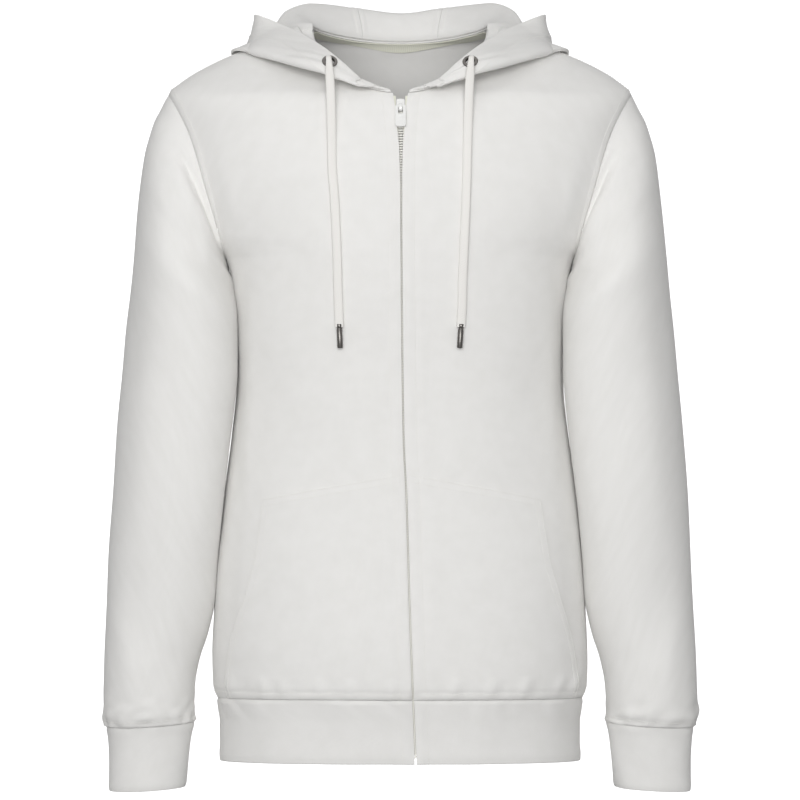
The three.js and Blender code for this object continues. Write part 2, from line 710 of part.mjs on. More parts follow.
function hoodSeamEdges(first, last) {
  return (normals, points) => {
    points[0].forEach((p, c) => normals[0][c].set(p.x, p.y, 0).normalize());
    points.forEach((row, r) => {
      const ends = [[0, 1, first], [row.length - 1, row.length - 2, last]];
      ends.forEach(([c, next, isSeam]) => {
        if (!isSeam) return;
        const inward = row[next].clone().sub(row[c]).normalize();
        row[c].addScaledVector(inward, SEAM_GAP);
        flatten(normals[r][c], inward);
      });
    });
  };
}

function hoodSide(side) {
  const grid = hoodGrid(HOOD_SIDE_STOPS, side);
  return wall(grid, {
    flip: side < 0,
    outer: HOOD_WALL / 2,
    inner: HOOD_WALL / 2,
    edges: hoodSeamEdges(true, false),
  });
}

function hoodCentre() {
  const grid = hoodGrid(HOOD_CENTRE_STOPS, 1);
  return wall(grid, {
    outer: HOOD_WALL / 2,
    inner: HOOD_WALL / 2,
    edges: hoodSeamEdges(true, true),
  });
}

// The tape that covers the neck seam inside the back neck, on the back panel's own inside.
function neckTape() {
  const angles = [];
  for (let a = -NECK_TAPE.reach; a <= NECK_TAPE.reach; a += NECK_TAPE.step) angles.push(a);
  const grid = [1, 0.5, 0].map((low) =>
    angles.map((angle) => {
      const a = degrees(angle);
      const spread = mix(NECK_TAPE.near, NECK_TAPE.far + 4 * Math.sin(a) ** 2, low);
      const x = (NECK_HALF_WIDTH + spread) * Math.sin(a);
      const y = (NECK_BACK_DEPTH + spread) * Math.cos(a);
      return vec(x, y, heightOnBack(x, y));
    }),
  );
  const gap = PANEL_WALL + 1.4;
  return wall(grid, { flip: true, outer: -gap, inner: gap + NECK_TAPE.wall });
}

function heightOnBack(x, y) {
  let low = SHOULDER_TIP.z;
  let high = NECK_SIDE_Z;
  for (let i = 0; i < 40; i++) {
    const middle = (low + high) / 2;
    if (BODY.half(middle) > Math.abs(x) && formDepth(x, middle, "back") > y) low = middle;
    else high = middle;
  }
  return (low + high) / 2;
}

// Levels up the zip: those of the cloth in front of it, then closer ones at the neck.
function zipLevels(top) {
  return [ZIP_BOTTOM_Z, -700, -680, -668, ...LOWER_LEVELS, -190, -160, -135, -112, -95, ...top];
}

// A strip that runs down the zip line behind the front edges.
function zipStrip(levels, from, to, depth, thickness) {
  const grid = levels.map((z) =>
    [from(z), (from(z) + to(z)) / 2, to(z)].map((x) => tilt(onForm(x, z, "front"))),
  );
  return wall(grid, { outer: -depth, inner: depth + thickness });
}

function zipTape(side) {
  const levels = zipLevels([-79.6, -78.9, -71, ZIP_TOP_Z]);
  const near = (z) => (z > -79.2 ? ZIP_TAPE.besideSlider : ZIP_TAPE.besideChain);
  const edge = (z) => ZIP.line(z) + side * near(z);
  const far = (z) => ZIP.line(z) + side * ZIP_TAPE.reach;
  const [from, to] = side > 0 ? [edge, far] : [far, edge];
  return zipStrip(levels, from, to, ZIP_DEPTH, ZIP_TAPE.wall);
}

function zipChain() {
  const levels = zipLevels([CHAIN.top]);
  const from = (z) => ZIP.line(z) - CHAIN.halfWidth;
  const to = (z) => ZIP.line(z) + CHAIN.halfWidth;
  return zipStrip(levels, from, to, ZIP_DEPTH, CHAIN.thickness);
}

// The slider's frame: its Z runs up the zip, its Y runs into the body from the cloth's face.
function sliderFrame() {
  const frame = new THREE.Group();
  const here = onForm(ZIP.line(HINGE_Z), HINGE_Z, "front");
  const above = onForm(ZIP.line(HINGE_Z), HINGE_Z + 8, "front");
  frame.position.copy(here);
  frame.rotation.x = -Math.atan2(above.y - here.y, 8);
  return frame;
}

// A plate cut to an outline in X and Z, from one depth to another.
function plate(shape, front, back) {
  const geometry = new THREE.ExtrudeGeometry(shape, {
    depth: back - front,
    bevelEnabled: false,
    curveSegments: 6,
  });
  geometry.rotateX(Math.PI / 2);
  geometry.translate(0, back, 0);
  return geometry;
}

function roundedOutline(halfWidth, low, high, corner, lowCorner = corner) {
  const shape = new THREE.Shape();
  shape.moveTo(-halfWidth + lowCorner, low);
  shape.lineTo(halfWidth - lowCorner, low);
  shape.quadraticCurveTo(halfWidth, low, halfWidth, low + lowCorner);
  shape.lineTo(halfWidth, high - corner);
  shape.quadraticCurveTo(halfWidth, high, halfWidth - corner, high);
  shape.lineTo(-halfWidth + corner, high);
  shape.quadraticCurveTo(-halfWidth, high, -halfWidth, high - corner);
  shape.lineTo(-halfWidth, low + lowCorner);
  shape.quadraticCurveTo(-halfWidth, low, -halfWidth + lowCorner, low);
  return shape;
}

// The slider's body with the bail that carries the pull tab, joined in one piece.
function zipSlider() {
  const outline = roundedOutline(SLIDER.halfWidth, SLIDER.low, SLIDER.high, 2, 1);
  const body = plate(outline, SLIDER.front, SLIDER.back);
  const radius = BAIL.hole + BAIL.rim;
  const arch = new THREE.Shape();
  arch.absarc(HINGE_OUT, 0, radius, -Math.PI / 2, Math.PI / 2, false);
  arch.lineTo(SLIDER.front - 1, radius);
  arch.lineTo(SLIDER.front - 1, -radius);
  arch.closePath();
  const hole = new THREE.Path();
  hole.absarc(HINGE_OUT, 0, BAIL.hole, 0, 2 * Math.PI, true);
  arch.holes.push(hole);
  const bail = new THREE.ExtrudeGeometry(arch, {
    depth: 2 * BAIL.halfWidth,
    bevelEnabled: false,
    curveSegments: 10,
  });
  bail.translate(0, 0, -BAIL.halfWidth);
  bail.applyMatrix4(new THREE.Matrix4().makeBasis(vec(0, -1, 0), vec(0, 0, 1), vec(-1, 0, 0)));
  return geometryOf(solidOf(body).add(solidOf(bail)));
}

function zipPull() {
  const outline = roundedOutline(PULL.halfWidth, PULL.bottom, PULL.top, 0.6, PULL.corner);
  const window = new THREE.Path();
  window.moveTo(-PULL_WINDOW.halfWidth, PULL_WINDOW.bottom);
  window.lineTo(-PULL_WINDOW.halfWidth, PULL_WINDOW.top);
  window.lineTo(PULL_WINDOW.halfWidth, PULL_WINDOW.top);
  window.lineTo(PULL_WINDOW.halfWidth, PULL_WINDOW.bottom);
  outline.holes.push(window);
  const geometry = plate(outline, -PULL.thickness / 2, PULL.thickness / 2);
  geometry.translate(0, -HINGE_OUT, 0);
  return geometry;
}

const wasm = await Module();
wasm.setup();

function solidOf(geometry) {
  const bare = new THREE.BufferGeometry();
  const flat = geometry.index ? geometry.toNonIndexed() : geometry;
  bare.setAttribute("position", flat.getAttribute("position"));
  const merged = mergeVertices(bare, 1e-4);
  return new wasm.Manifold(
    new wasm.Mesh({
      numProp: 3,
      vertProperties: merged.attributes.position.array,
      triVerts: new Uint32Array(merged.index.array),
    }),
  );
}

function geometryOf(solid) {
  const { vertProperties, triVerts } = solid.getMesh();
  return indexed([...vertProperties], [...triVerts]);
}

// Where the eyelet sits on the hood's face: its centre, and a turn that faces it outwards.
function eyeletPlace(side) {
  const at = (along, level) => {
    const p = hoodProfile(along).getPoint(level / 8);
    return vec(p.x * side, p.y, p.z);
  };
  const { along, level } = EYELET;
  const across = at(along + 0.01, level).sub(at(along - 0.01, level));
  const up = at(along, level + 0.1).sub(at(along, level - 0.1));
  const out = across.cross(up).normalize().multiplyScalar(side);
  if (out.y > 0) out.negate();
  const turn = new THREE.Quaternion().setFromUnitVectors(vec(0, 1, 0), out);
  return new THREE.Matrix4().compose(at(along, level), turn, vec(1, 1, 1));
}

function lathe(profile, segments) {
  const points = profile.map(([r, y]) => new THREE.Vector2(r, y));
  return new THREE.LatheGeometry(points, segments);
}

function eyelet(side) {
  const { hole, barrel, flange, plate: thick } = EYELET;
  const inside = HOOD_WALL / 2 + SEAM_GAP;
  const outside = inside + thick;
  const ring = lathe(
    [
      [hole, -outside], [flange, -outside], [flange, -inside], [barrel, -inside],
      [barrel, inside], [flange, inside], [flange - 0.6, outside], [hole + 0.4, outside],
      [hole, outside - 0.4], [hole, -outside],
    ],
    16,
  );
  return ring.applyMatrix4(eyeletPlace(side));
}

// The room that the eyelet takes out of the hood's wall.
function eyeletRoom(side) {
  const { barrel, flange } = EYELET;
  const inside = HOOD_WALL / 2;
  const hole = barrel + SEAM_GAP;
  const rim = flange + SEAM_GAP;
  const room = lathe(
    [
      [0, -5], [rim, -5], [rim, -inside], [hole, -inside], [hole, inside], [rim, inside],
      [rim, 5], [0, 5],
    ],
    16,
  );
  return room.applyMatrix4(eyeletPlace(side));
}

function cordCurve(name) {
  const points = CORD_ROUTES[name].map(([x, y, z]) => vec(x, y, z));
  return new THREE.CatmullRomCurve3(points, false, "centripetal");
}

function cord(name) {
  const section = new THREE.Shape();
  for (let i = 0; i < CORD.sides; i++) {
    const a = (2 * Math.PI * (i + 0.5)) / CORD.sides;
    const x = CORD.halfWidth * Math.cos(a);
    const y = CORD.halfThickness * Math.sin(a);
    if (i === 0) section.moveTo(x, y);
    else section.lineTo(x, y);
  }
  section.closePath();
  return new THREE.ExtrudeGeometry(section, {
    steps: CORD.steps,
    extrudePath: cordCurve(name),
  });
}

function cordTip(name) {
  const { radius, length, round } = TIP;
  const tip = lathe(
    [[0, 0], [radius - round, 0], [radius, round], [radius, length - round],
      [radius - round, length], [0, length]],
    16,
  );
  const curve = cordCurve(name);
  const end = curve.getPoint(1);
  const direction = curve.getTangent(1);
  const turn = new THREE.Quaternion().setFromUnitVectors(vec(0, 1, 0), direction);
  end.addScaledVector(direction, SEAM_GAP);
  return tip.applyMatrix4(new THREE.Matrix4().compose(end, turn, vec(1, 1, 1)));
}

const cloth = (name, geometry) => mesh(name, geometry, CLOTH);

function mesh(name, geometry, finish) {
  const made = new THREE.Mesh(geometry, new THREE.MeshStandardMaterial(finish));
  made.name = name;
  return made;
}

const hoodie = new THREE.Group();
hoodie.add(cloth("back", backPanel()));
hoodie.add(cloth("waistband", waistband()));
hoodie.add(cloth("hood_centre", hoodCentre()));
hoodie.add(mesh("neck_tape", neckTape(), TAPE));
for (const [name, side] of [["left", -1], ["right", 1]]) {
  hoodie.add(cloth("front_" + name, frontPanel(side)));
  hoodie.add(cloth("pocket_" + name, pocket(side)));
  hoodie.add(cloth("sleeve_" + name, sleeve(side)));
  hoodie.add(cloth("cuff_" + name, cuff(side)));
  const hood = solidOf(hoodSide(side)).subtract(solidOf(eyeletRoom(side)));
  hoodie.add(cloth("hood_" + name, geometryOf(hood)));
  hoodie.add(mesh("eyelet_" + name, eyelet(side), METAL));
  hoodie.add(cloth("cord_" + name, cord(name)));
  hoodie.add(mesh("tip_" + name, cordTip(name), METAL));
  hoodie.add(mesh("zip_tape_" + name, zipTape(side), TAPE));
}
hoodie.add(mesh("zip_chain", zipChain(), TEETH));
const zipEnd = sliderFrame();
zipEnd.add(mesh("zip_slider", zipSlider(), TEETH));
zipEnd.add(mesh("zip_pull", zipPull(), TEETH));
hoodie.add(zipEnd);

export default hoodie;
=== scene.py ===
"""A full-zip hoodie of off-white sweat jersey, laid out as a Blender add-on.

Each cloth piece is a thin wall on a grid of points that short tables and formulas give,
in millimetres, with the garment's creases added as soft troughs and ridges.
"""
import math

import bmesh
import bpy
import numpy as np
from mathutils import Matrix, Vector


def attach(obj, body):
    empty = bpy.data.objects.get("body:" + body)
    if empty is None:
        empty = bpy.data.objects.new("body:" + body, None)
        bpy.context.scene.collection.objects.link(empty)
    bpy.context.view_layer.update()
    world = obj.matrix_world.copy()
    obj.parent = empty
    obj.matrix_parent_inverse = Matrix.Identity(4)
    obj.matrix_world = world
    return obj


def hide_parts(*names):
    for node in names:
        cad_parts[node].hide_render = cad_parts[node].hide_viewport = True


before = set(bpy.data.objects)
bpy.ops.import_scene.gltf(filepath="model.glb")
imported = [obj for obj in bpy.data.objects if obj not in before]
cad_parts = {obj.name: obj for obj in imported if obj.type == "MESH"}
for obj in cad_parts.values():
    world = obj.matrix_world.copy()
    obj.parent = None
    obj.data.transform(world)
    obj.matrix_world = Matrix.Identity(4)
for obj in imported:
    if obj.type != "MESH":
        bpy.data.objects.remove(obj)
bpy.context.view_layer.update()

bl_info = {
    "name": "Zip Up Hoodie",
    "version": (1, 0, 0),
    "blender": (4, 5, 0),
    "location": "View3D > Sidebar > Hoodie",
    "description": "Builds a full-zip hoodie piece by piece, with its zip, drawcord and stitching",
    "category": "Add Mesh",
}

GARMENT = "hoodie"
PULL_TAB = "pull_tab"
MM = 0.001

# Neckline, armhole and hem, in millimetres
NECK_HALF_WIDTH = 88.0
NECK_FRONT_DEPTH = 88.0
NECK_BACK_DEPTH = 68.0
NECK_FRONT_Z = -62.0
NECK_BACK_Z = 6.0
NECK_SIDE_Z = 14.0
SHOULDER_TIP_X = 231.0
SHOULDER_TIP_Z = -55.0
UNDERARM_Z = -222.0
ARMHOLE_CENTRE = np.array([201.0, 0.0, -138.0])
ARMHOLE_AXIS = np.array([0.943, 0.0, -0.333])
BAND_SEAM_Z = -657.0
HEM_Z = -719.5
HEM_TILT = 0.07
HEM_NORMAL = np.array([0.0, HEM_TILT, 1.0])
SECTION_POWER = 2.3

# Walls and seams
PANEL_WALL = 1.8
BAND_WALL = 2.4
HOOD_WALL = 2.4
POCKET_WALL = 0.9
POCKET_LIFT = 0.2
SEAM_GAP = 0.16

# Columns and rows of the panels, as in the solids, each divided FINE times here
FRONT_COLUMNS = 12
FRONT_NECK_COLUMN = 5
BACK_COLUMNS = 10
BACK_NECK_COLUMN = 5
POCKET_COLUMN = 7
POCKET_ROW = 7
ARMHOLE_ROWS = 11
FINE = 7
LOWER_LEVELS = [
    -656.9, -648, -632, -602, -566, -528, -488, -446, -396, -345, -298, -257, -222,
]
LOWER_ROWS = (len(LOWER_LEVELS) - 1) * FINE
POCKET_SLANT = 26.0


def monotone(xs, ys):
    """A monotone cubic curve through the points, level past its ends."""
    xs = np.asarray(xs, float)
    ys = np.asarray(ys, float)
    step = np.diff(xs)
    slope = np.diff(ys) / step
    tangent = np.zeros_like(ys)
    tangent[0] = slope[0]
    tangent[-1] = slope[-1]
    for i in range(1, len(xs) - 1):
        if slope[i - 1] * slope[i] > 0:
            w1 = 2 * step[i] + step[i - 1]
            w2 = step[i] + 2 * step[i - 1]
            tangent[i] = (w1 + w2) / (w1 / slope[i - 1] + w2 / slope[i])

    def read(x):
        x = np.clip(np.asarray(x, float), xs[0], xs[-1])
        i = np.clip(np.searchsorted(xs, x, side="right") - 1, 0, len(xs) - 2)
        h = step[i]
        t = (x - xs[i]) / h
        before = ys[i] * (1 + 2 * t) * (1 - t) ** 2 + h * tangent[i] * t * (1 - t) ** 2
        after = ys[i + 1] * t * t * (3 - 2 * t) + h * tangent[i + 1] * t * t * (t - 1)
        return before + after

    return read


def table(columns, rows):
    """Curves of a table's named columns over its first column."""
    rows = sorted(rows)
    keys = [row[0] for row in rows]
    return {
        name: monotone(keys, [row[i + 1] for row in rows])
        for i, name in enumerate(columns[1:])
    }


def hood_table(columns, rows):
    """The hood is the same on both sides, so its tables carry on past the centre back."""
    mirrored = [[-row[0], -row[1], *row[2:]] for row in rows[1:4]]
    return table(columns, mirrored + [list(row) for row in rows])


# The worn body's section at each height: half width, and depth to the front and back
BODY = table(["z", "half", "front", "back"], [
    [14, 88, 12, 43], [12, 93.5, 13.5, 52], [10, 99, 15, 57.7], [8, 104.5, 16.5, 62.8],
    [6, 110, 18, 68], [-5, 140, 26, 76], [-22, 183, 44.5, 84], [-40, 215, 64, 90],
    [-55, 231, 80, 95], [-62, 232.5, 88, 98], [-100, 225, 103, 107], [-155, 212, 115, 113],
    [-200, 190, 119, 111], [-222, 172, 120, 110], [-250, 165.5, 119.5, 105],
    [-290, 163, 117, 99], [-345, 163.5, 114, 93], [-390, 167.5, 113, 92],
    [-430, 172, 113.5, 94], [-470, 177, 115, 98], [-520, 183, 117.5, 104],
    [-565, 185.3, 120, 108], [-615, 187.3, 121.5, 110], [-645, 186.5, 120, 109],
    [-657, 182, 115, 105], [-670, 180, 112, 103], [-680, 178.6, 110, 101],
    [-700, 178.5, 107.5, 100], [-724, 180.5, 106, 100],
])

ARMHOLE = table(["z", "front", "back"], [
    [-222, 172, 172], [-210, 174.5, 175.8], [-200, 177, 180], [-155, 190, 197],
    [-100, 207, 214], [-75, 219, 223], [-55, 231, 231],
])

# The closed zip swings a little to one side on its way down and opens at the neck
ZIP = table(["z", "line", "gap"], [
    [-62, 0.5, 7.4], [-75, 0.5, 5.4], [-86, 0.6, 4.2], [-99, 0.7, 3.2], [-118, 0.9, 1.8],
    [-150, 1.1, 1.1], [-224, 1.5, 1], [-400, 3.5, 1], [-452, 6, 1], [-571, 9.4, 1],
    [-705, 14.6, 1], [-724, 15.4, 1],
])

SLEEVE_OUTER = table(["z", "x"], [
    [-55, 231], [-71, 239], [-82, 245], [-98, 250.3], [-113, 254.3], [-126, 256.4],
    [-148, 259], [-175, 261.8], [-219, 265.7], [-250, 268.5], [-290, 272.8],
    [-335, 276.7], [-379, 280.7], [-438, 285], [-494, 288.2], [-559, 291.5],
    [-610, 293.8], [-650, 294.8], [-673, 295.8], [-684, 292],
])["x"]

SLEEVE_INNER = table(["z", "x"], [
    [-222, 172], [-250, 167.5], [-290, 165.4], [-330, 165.6], [-360, 167.7],
    [-390, 170.8], [-430, 175.2], [-470, 180.2], [-520, 185.6], [-565, 188.4],
    [-593, 192], [-618, 199.2], [-641, 203.4], [-666, 204.5], [-679, 204],
])["x"]

# Each sleeve ring leans: its outer point, its inner point and half its depth
SLEEVE_RINGS = table(["along", "outer_z", "inner_z", "depth", "y"], [
    [0, -55, -222, 62, 0], [0.05, -80, -229, 68, 0], [0.1, -110, -238, 73, -1],
    [0.16, -150, -251, 76, -2], [0.23, -195, -268, 76, -4], [0.32, -250, -295, 72, -6],
    [0.42, -320, -345, 66, -9], [0.55, -410, -418, 60, -12], [0.7, -510, -512, 54, -15],
    [0.82, -585, -585, 50, -17], [0.92, -650, -648, 46, -18], [0.97, -673, -668, 44, -18],
    [1, -684, -679, 37, -18],
])

CUFF_RINGS = table(["along", "outer_x", "outer_z", "inner_x", "inner_z", "depth"], [
    [0, 291.6, -684.2, 204.3, -679.2, 36], [0.15, 289.6, -693, 207.4, -688, 33],
    [0.5, 288.3, -716, 210.6, -712, 29.5], [0.85, 288.6, -738, 212.4, -736, 27],
    [1, 289, -748, 213, -744, 26.5],
])

# The hood, from the centre back (0) to the centre front (1): its crest above the neck
# seam, the fold it hangs in, and its mouth edge; roll is the radius of the turns
CREST = hood_table(["along", "x", "y", "z", "roll"], [
    [0, 0, 90, 37, 9], [0.146, 45, 89, 42, 9], [0.3, 92, 80, 46, 8.5],
    [0.42, 116, 58, 35, 7.5], [0.5, 122, 28, 18, 6.5], [0.62, 112, -16, 6, 5],
    [0.75, 88, -54, -15, 4], [0.88, 52, -86, -42, 3], [1, 14, -92, -59.5, 1.8],
])
FOLD = hood_table(["along", "x", "y", "z", "roll"], [
    [0, 0, 142, -252, 11], [0.146, 42, 141, -250, 11], [0.3, 112, 128, -190, 11],
    [0.42, 158, 92, -70, 8], [0.5, 167, 12, -17, 4.5], [0.62, 151, -25, -16, 5],
    [0.75, 120, -64, -27, 5], [0.88, 72, -94, -42, 5], [1, 31, -96, -58, 2.5],
])
MOUTH = hood_table(["along", "x", "y", "z"], [
    [0, 0, 150, 13], [0.146, 45, 148, 12], [0.3, 100, 130, 8], [0.42, 140, 88, 14],
    [0.5, 146, 22, 28], [0.62, 116, -16, 13], [0.75, 88, -52, -5], [0.88, 60, -85, -28],
    [1, 29, -92, -57],
])
HOOD_SEAM_ALONG = 0.146
HOOD_END_ALONG = 0.968
HOOD_CLEARANCE = 2.6

POCKET_EDGE = monotone(
    [-657, -643, -602, -553, -514, -459, -380, -222],
    [68.5, 68, 64, 55.5, 51.5, 50.5, 50, 50.4],
)


def smooth(t):
    t = np.clip(t, 0, 1)
    return t * t * (3 - 2 * t)


def mix(a, b, t):
    return a + (b - a) * t


def stack(x, y, z):
    return np.stack(np.broadcast_arrays(x, y, z), axis=-1).astype(float)


def unit(v):
    return v / np.maximum(np.linalg.norm(v, axis=-1, keepdims=True), 1e-9)


def flatten(normals, direction):
    """Unit normals with their part along one direction taken away."""
    d = unit(np.asarray(direction, float))
    return unit(normals - (normals * d).sum(-1, keepdims=True) * d)


def form_depth(x, z, face):
    across = np.clip(np.abs(x) / BODY["half"](z), 0, 1)
    return BODY[face](z) * (1 - across**SECTION_POWER) ** (1 / SECTION_POWER)


def on_form(x, z, face):
    depth = form_depth(x, z, face)
    return stack(x, -depth if face == "front" else depth, z)


def tilt(points):
    """The hem dips towards the back, fading out above the waist."""
    fade = smooth((-300 - points[..., 2]) / 320)
    points = points.copy()
    points[..., 2] -= HEM_TILT * points[..., 1] * fade
    return points


def neck_point(angle):
    """The neckline, at an angle from the centre back (0) to the centre front (180)."""
    a = np.radians(angle)
    side, turn = np.sin(a), np.cos(a)
    behind = np.asarray(angle) <= 90
    depth = np.where(behind, NECK_BACK_DEPTH, NECK_FRONT_DEPTH)
    back_z = NECK_BACK_Z + (NECK_SIDE_Z - NECK_BACK_Z) * side**2
    front_z = NECK_FRONT_Z + (NECK_SIDE_Z - NECK_FRONT_Z) * (1 + turn)
    return stack(NECK_HALF_WIDTH * side, depth * turn, np.where(behind, back_z, front_z))


SHOULDER_Z = monotone(
    BODY["half"](np.linspace(NECK_SIDE_Z, SHOULDER_TIP_Z, 60)),
    np.linspace(NECK_SIDE_Z, SHOULDER_TIP_Z, 60),
)


def shoulder_point(t):
    x = mix(NECK_HALF_WIDTH, SHOULDER_TIP_X, t)
    return stack(x, 0, SHOULDER_Z(x))


def shoulder_slope(x):
    """The direction square to the shoulder seam, pointing up and out."""
    side = np.sign(x)
    ax = np.clip(np.abs(x), NECK_HALF_WIDTH + 3, SHOULDER_TIP_X - 3)
    rise = (SHOULDER_Z(ax + 3) - SHOULDER_Z(ax - 3)) / 6
    return unit(stack(-rise * side, 0, np.ones_like(ax)))


def centre_edge(z, side):
    return side * ZIP["line"](z) + ZIP["gap"](z)


def front_share(i, z):
    edge = POCKET_EDGE(z) / 90
    inner = edge * np.clip(i / POCKET_COLUMN, 0, 1) ** 1.08
    outer = mix(edge, 1, (i - POCKET_COLUMN) / (FRONT_COLUMNS - POCKET_COLUMN))
    return np.where(i <= POCKET_COLUMN, inner, outer)


def section_x(i, z, face, side):
    """Where a panel's column lies across the body at a height."""
    half = BODY["half"](z)
    if face == "front":
        start = np.arcsin(np.clip(centre_edge(z, side) / half, -1, 1))
        share = front_share(i, z)
    else:
        start = 0.0
        share = i / BACK_COLUMNS
    return half * np.sin(mix(start, np.pi / 2, share))


def panel_grid(face, side):
    """A panel's points on the body form, rows from the waistband seam up, columns outwards."""
    is_front = face == "front"
    columns = FRONT_COLUMNS if is_front else BACK_COLUMNS
    neck_column = FRONT_NECK_COLUMN if is_front else BACK_NECK_COLUMN
    i = np.linspace(0, columns, columns * FINE + 1)
    levels = len(LOWER_LEVELS) - 1
    j = np.linspace(0, levels, LOWER_ROWS + 1)
    z = np.interp(j, np.arange(levels + 1), LOWER_LEVELS)[:, None]
    x = section_x(i[None, :], z, face, side)
    x[:, -1] = BODY["half"](z[:, 0])
    lower = tilt(on_form(x, z, face))

    t = np.linspace(0, 1, ARMHOLE_ROWS * FINE + 1)[1:, None]
    bottom = stack(section_x(i, UNDERARM_Z, face, side), 0, UNDERARM_Z)
    first = 0.0
    if is_front:
        first = math.degrees(math.asin(float(centre_edge(NECK_FRONT_Z, side)) / NECK_HALF_WIDTH))
    angle = mix(first, 90, np.clip(i / neck_column, 0, 1))
    neck = neck_point(180 - angle if is_front else angle)
    shoulder = shoulder_point(np.clip((i - neck_column) / (columns - neck_column), 0, 1))
    top = np.where((i <= neck_column)[:, None], neck, shoulder)
    centre_rise = 1 - (1 - t) ** 1.6
    side_rise = np.sin(np.pi * t / 2) ** 2
    centre_z = mix(UNDERARM_Z, top[0, 2], centre_rise)
    side_z = mix(UNDERARM_Z, SHOULDER_TIP_Z, side_rise)
    left = {0: centre_edge(centre_z, side) if is_front else 0 * centre_z, 2: centre_z}
    right = {0: ARMHOLE[face](side_z), 2: side_z}
    s = (i / columns)[None, :]
    rise = mix(centre_rise, side_rise, s)
    blend = {}
    for axis in (0, 2):
        up = mix(bottom[None, :, axis], top[None, :, axis], rise)
        left_error = left[axis] - mix(bottom[0, axis], top[0, axis], rise)
        right_error = right[axis] - mix(bottom[-1, axis], top[-1, axis], rise)
        blend[axis] = up + (1 - s) * left_error + s * right_error
    blend[0][:, -1] = right[0][:, 0]
    blend[2][:, -1] = right[2][:, 0]
    upper = on_form(blend[0], blend[2], face)
    upper[-1] = top
    return np.concatenate([lower, upper])


def grid_normals(grid, closed):
    if closed:
        across = np.roll(grid, -1, axis=1) - np.roll(grid, 1, axis=1)
    else:
        across = np.gradient(grid, axis=1)
    up = np.gradient(grid, axis=0)
    return unit(np.cross(across, up))


CLOTHS = {}


class Cloth:
    """A grid of points with its outward normals, and how far creases move each point out."""

    def __init__(self, grid, closed=False, flip=False):
        self.grid = grid
        self.closed = closed
        self.flip = flip
        self.normals = grid_normals(grid, closed) * (-1 if flip else 1)
        self.lift = np.zeros(grid.shape[:2])
        self.pinch = np.zeros(grid.shape[:2])

    def face(self, offset=0.0, draw=0):
        return self.grid + self.normals * (self.lift + offset - draw * self.pinch)[..., None]

    def at(self, rows, columns, offset=0.0):
        """Points on the outer face at fractional rows and columns."""
        points = self.face(offset)
        r = np.clip(rows, 0, points.shape[0] - 1.001)
        if self.closed:
            c = np.mod(columns, points.shape[1])
        else:
            c = np.clip(columns, 0, points.shape[1] - 1.001)
        r0, c0 = r.astype(int), c.astype(int)
        c1 = (c0 + 1) % points.shape[1]
        fr, fc = (r - r0)[:, None], (c - c0)[:, None]
        low = points[r0, c0] * (1 - fc) + points[r0, c1] * fc
        high = points[r0 + 1, c0] * (1 - fc) + points[r0 + 1, c1] * fc
        return low * (1 - fr) + high * fr

    def sizes(self):
        """Its cut width and length, and its flat area, in metres."""
        points = self.face()
        if self.closed:
            points = np.concatenate([points, points[:, :1]], axis=1)
        rows = np.linalg.norm(np.diff(points, axis=1), axis=-1).sum(1)
        columns = np.linalg.norm(np.diff(points, axis=0), axis=-1).sum(0)
        a = points[1:, :-1] - points[:-1, :-1]
        b = points[:-1, 1:] - points[:-1, :-1]
        area = np.linalg.norm(np.cross(a, b), axis=-1).sum()
        width = rows.max() if area > 0.4 * rows.max() * columns.max() else rows.mean()
        length = columns.max() if area > 0.4 * width * columns.max() else area / (0.5 * width)
        area = min(area, 0.999 * width * length)
        return (width * MM, length * MM), area * MM * MM

    def mesh(self, name, outer, inner):
        """The closed wall between the face moved out and moved in, with its rims."""
        rows, columns = self.grid.shape[:2]
        out, back = self.face(outer, 1), self.face(-inner, -1)
        points = np.concatenate([out.reshape(-1, 3), back.reshape(-1, 3)])
        layer = rows * columns
        spans = columns if self.closed else columns - 1
        r, c = np.meshgrid(np.arange(rows - 1), np.arange(spans), indexing="ij")
        c1 = (c + 1) % columns
        a, b = r * columns + c, r * columns + c1
        d, e = (r + 1) * columns + c1, (r + 1) * columns + c
        outer_faces = np.stack([a, b, d, e], -1).reshape(-1, 4)
        inner_faces = np.stack([a, e, d, b], -1).reshape(-1, 4) + layer
        k = np.arange(spans)
        k1 = (k + 1) % columns
        top = (rows - 1) * columns
        rims = [
            np.stack([k + layer, k1 + layer, k1, k], -1),
            np.stack([top + k, top + k1, top + k1 + layer, top + k + layer], -1),
        ]
        if not self.closed:
            q = np.arange(rows - 1) * columns
            p = q + columns - 1
            rims.append(np.stack([q, q + columns, q + columns + layer, q + layer], -1))
            rims.append(np.stack([p + layer, p + columns + layer, p + columns, p], -1))
        faces = np.concatenate([outer_faces, inner_faces, *rims])
        if self.flip:
            faces = faces[:, ::-1]
        uv = np.zeros((rows, columns, 2))
        uv[:, 1:, 0] = np.cumsum(np.linalg.norm(np.diff(out, axis=1), axis=-1), axis=1)
        uv[1:, :, 1] = np.cumsum(np.linalg.norm(np.diff(out, axis=0), axis=-1), axis=0)
        uv = np.concatenate([uv.reshape(-1, 2)] * 2)
        return mesh_from(name, points, faces.tolist(), uv)


def mesh_from(name, points, faces, uv, sharp=50):
    """A Blender mesh in metres from points in millimetres, with a UV map in metres of cloth."""
    mesh = bpy.data.meshes.new(name)
    mesh.from_pydata((points * MM).tolist(), [], faces)
    layer = mesh.uv_layers.new(name="ClothMap")
    index = np.empty(len(mesh.loops), np.int32)
    mesh.loops.foreach_get("vertex_index", index)
    layer.data.foreach_set("uv", (uv[index] * MM).astype(np.float32).ravel())
    shade_smooth(mesh, sharp)
    mesh.update()
    return mesh


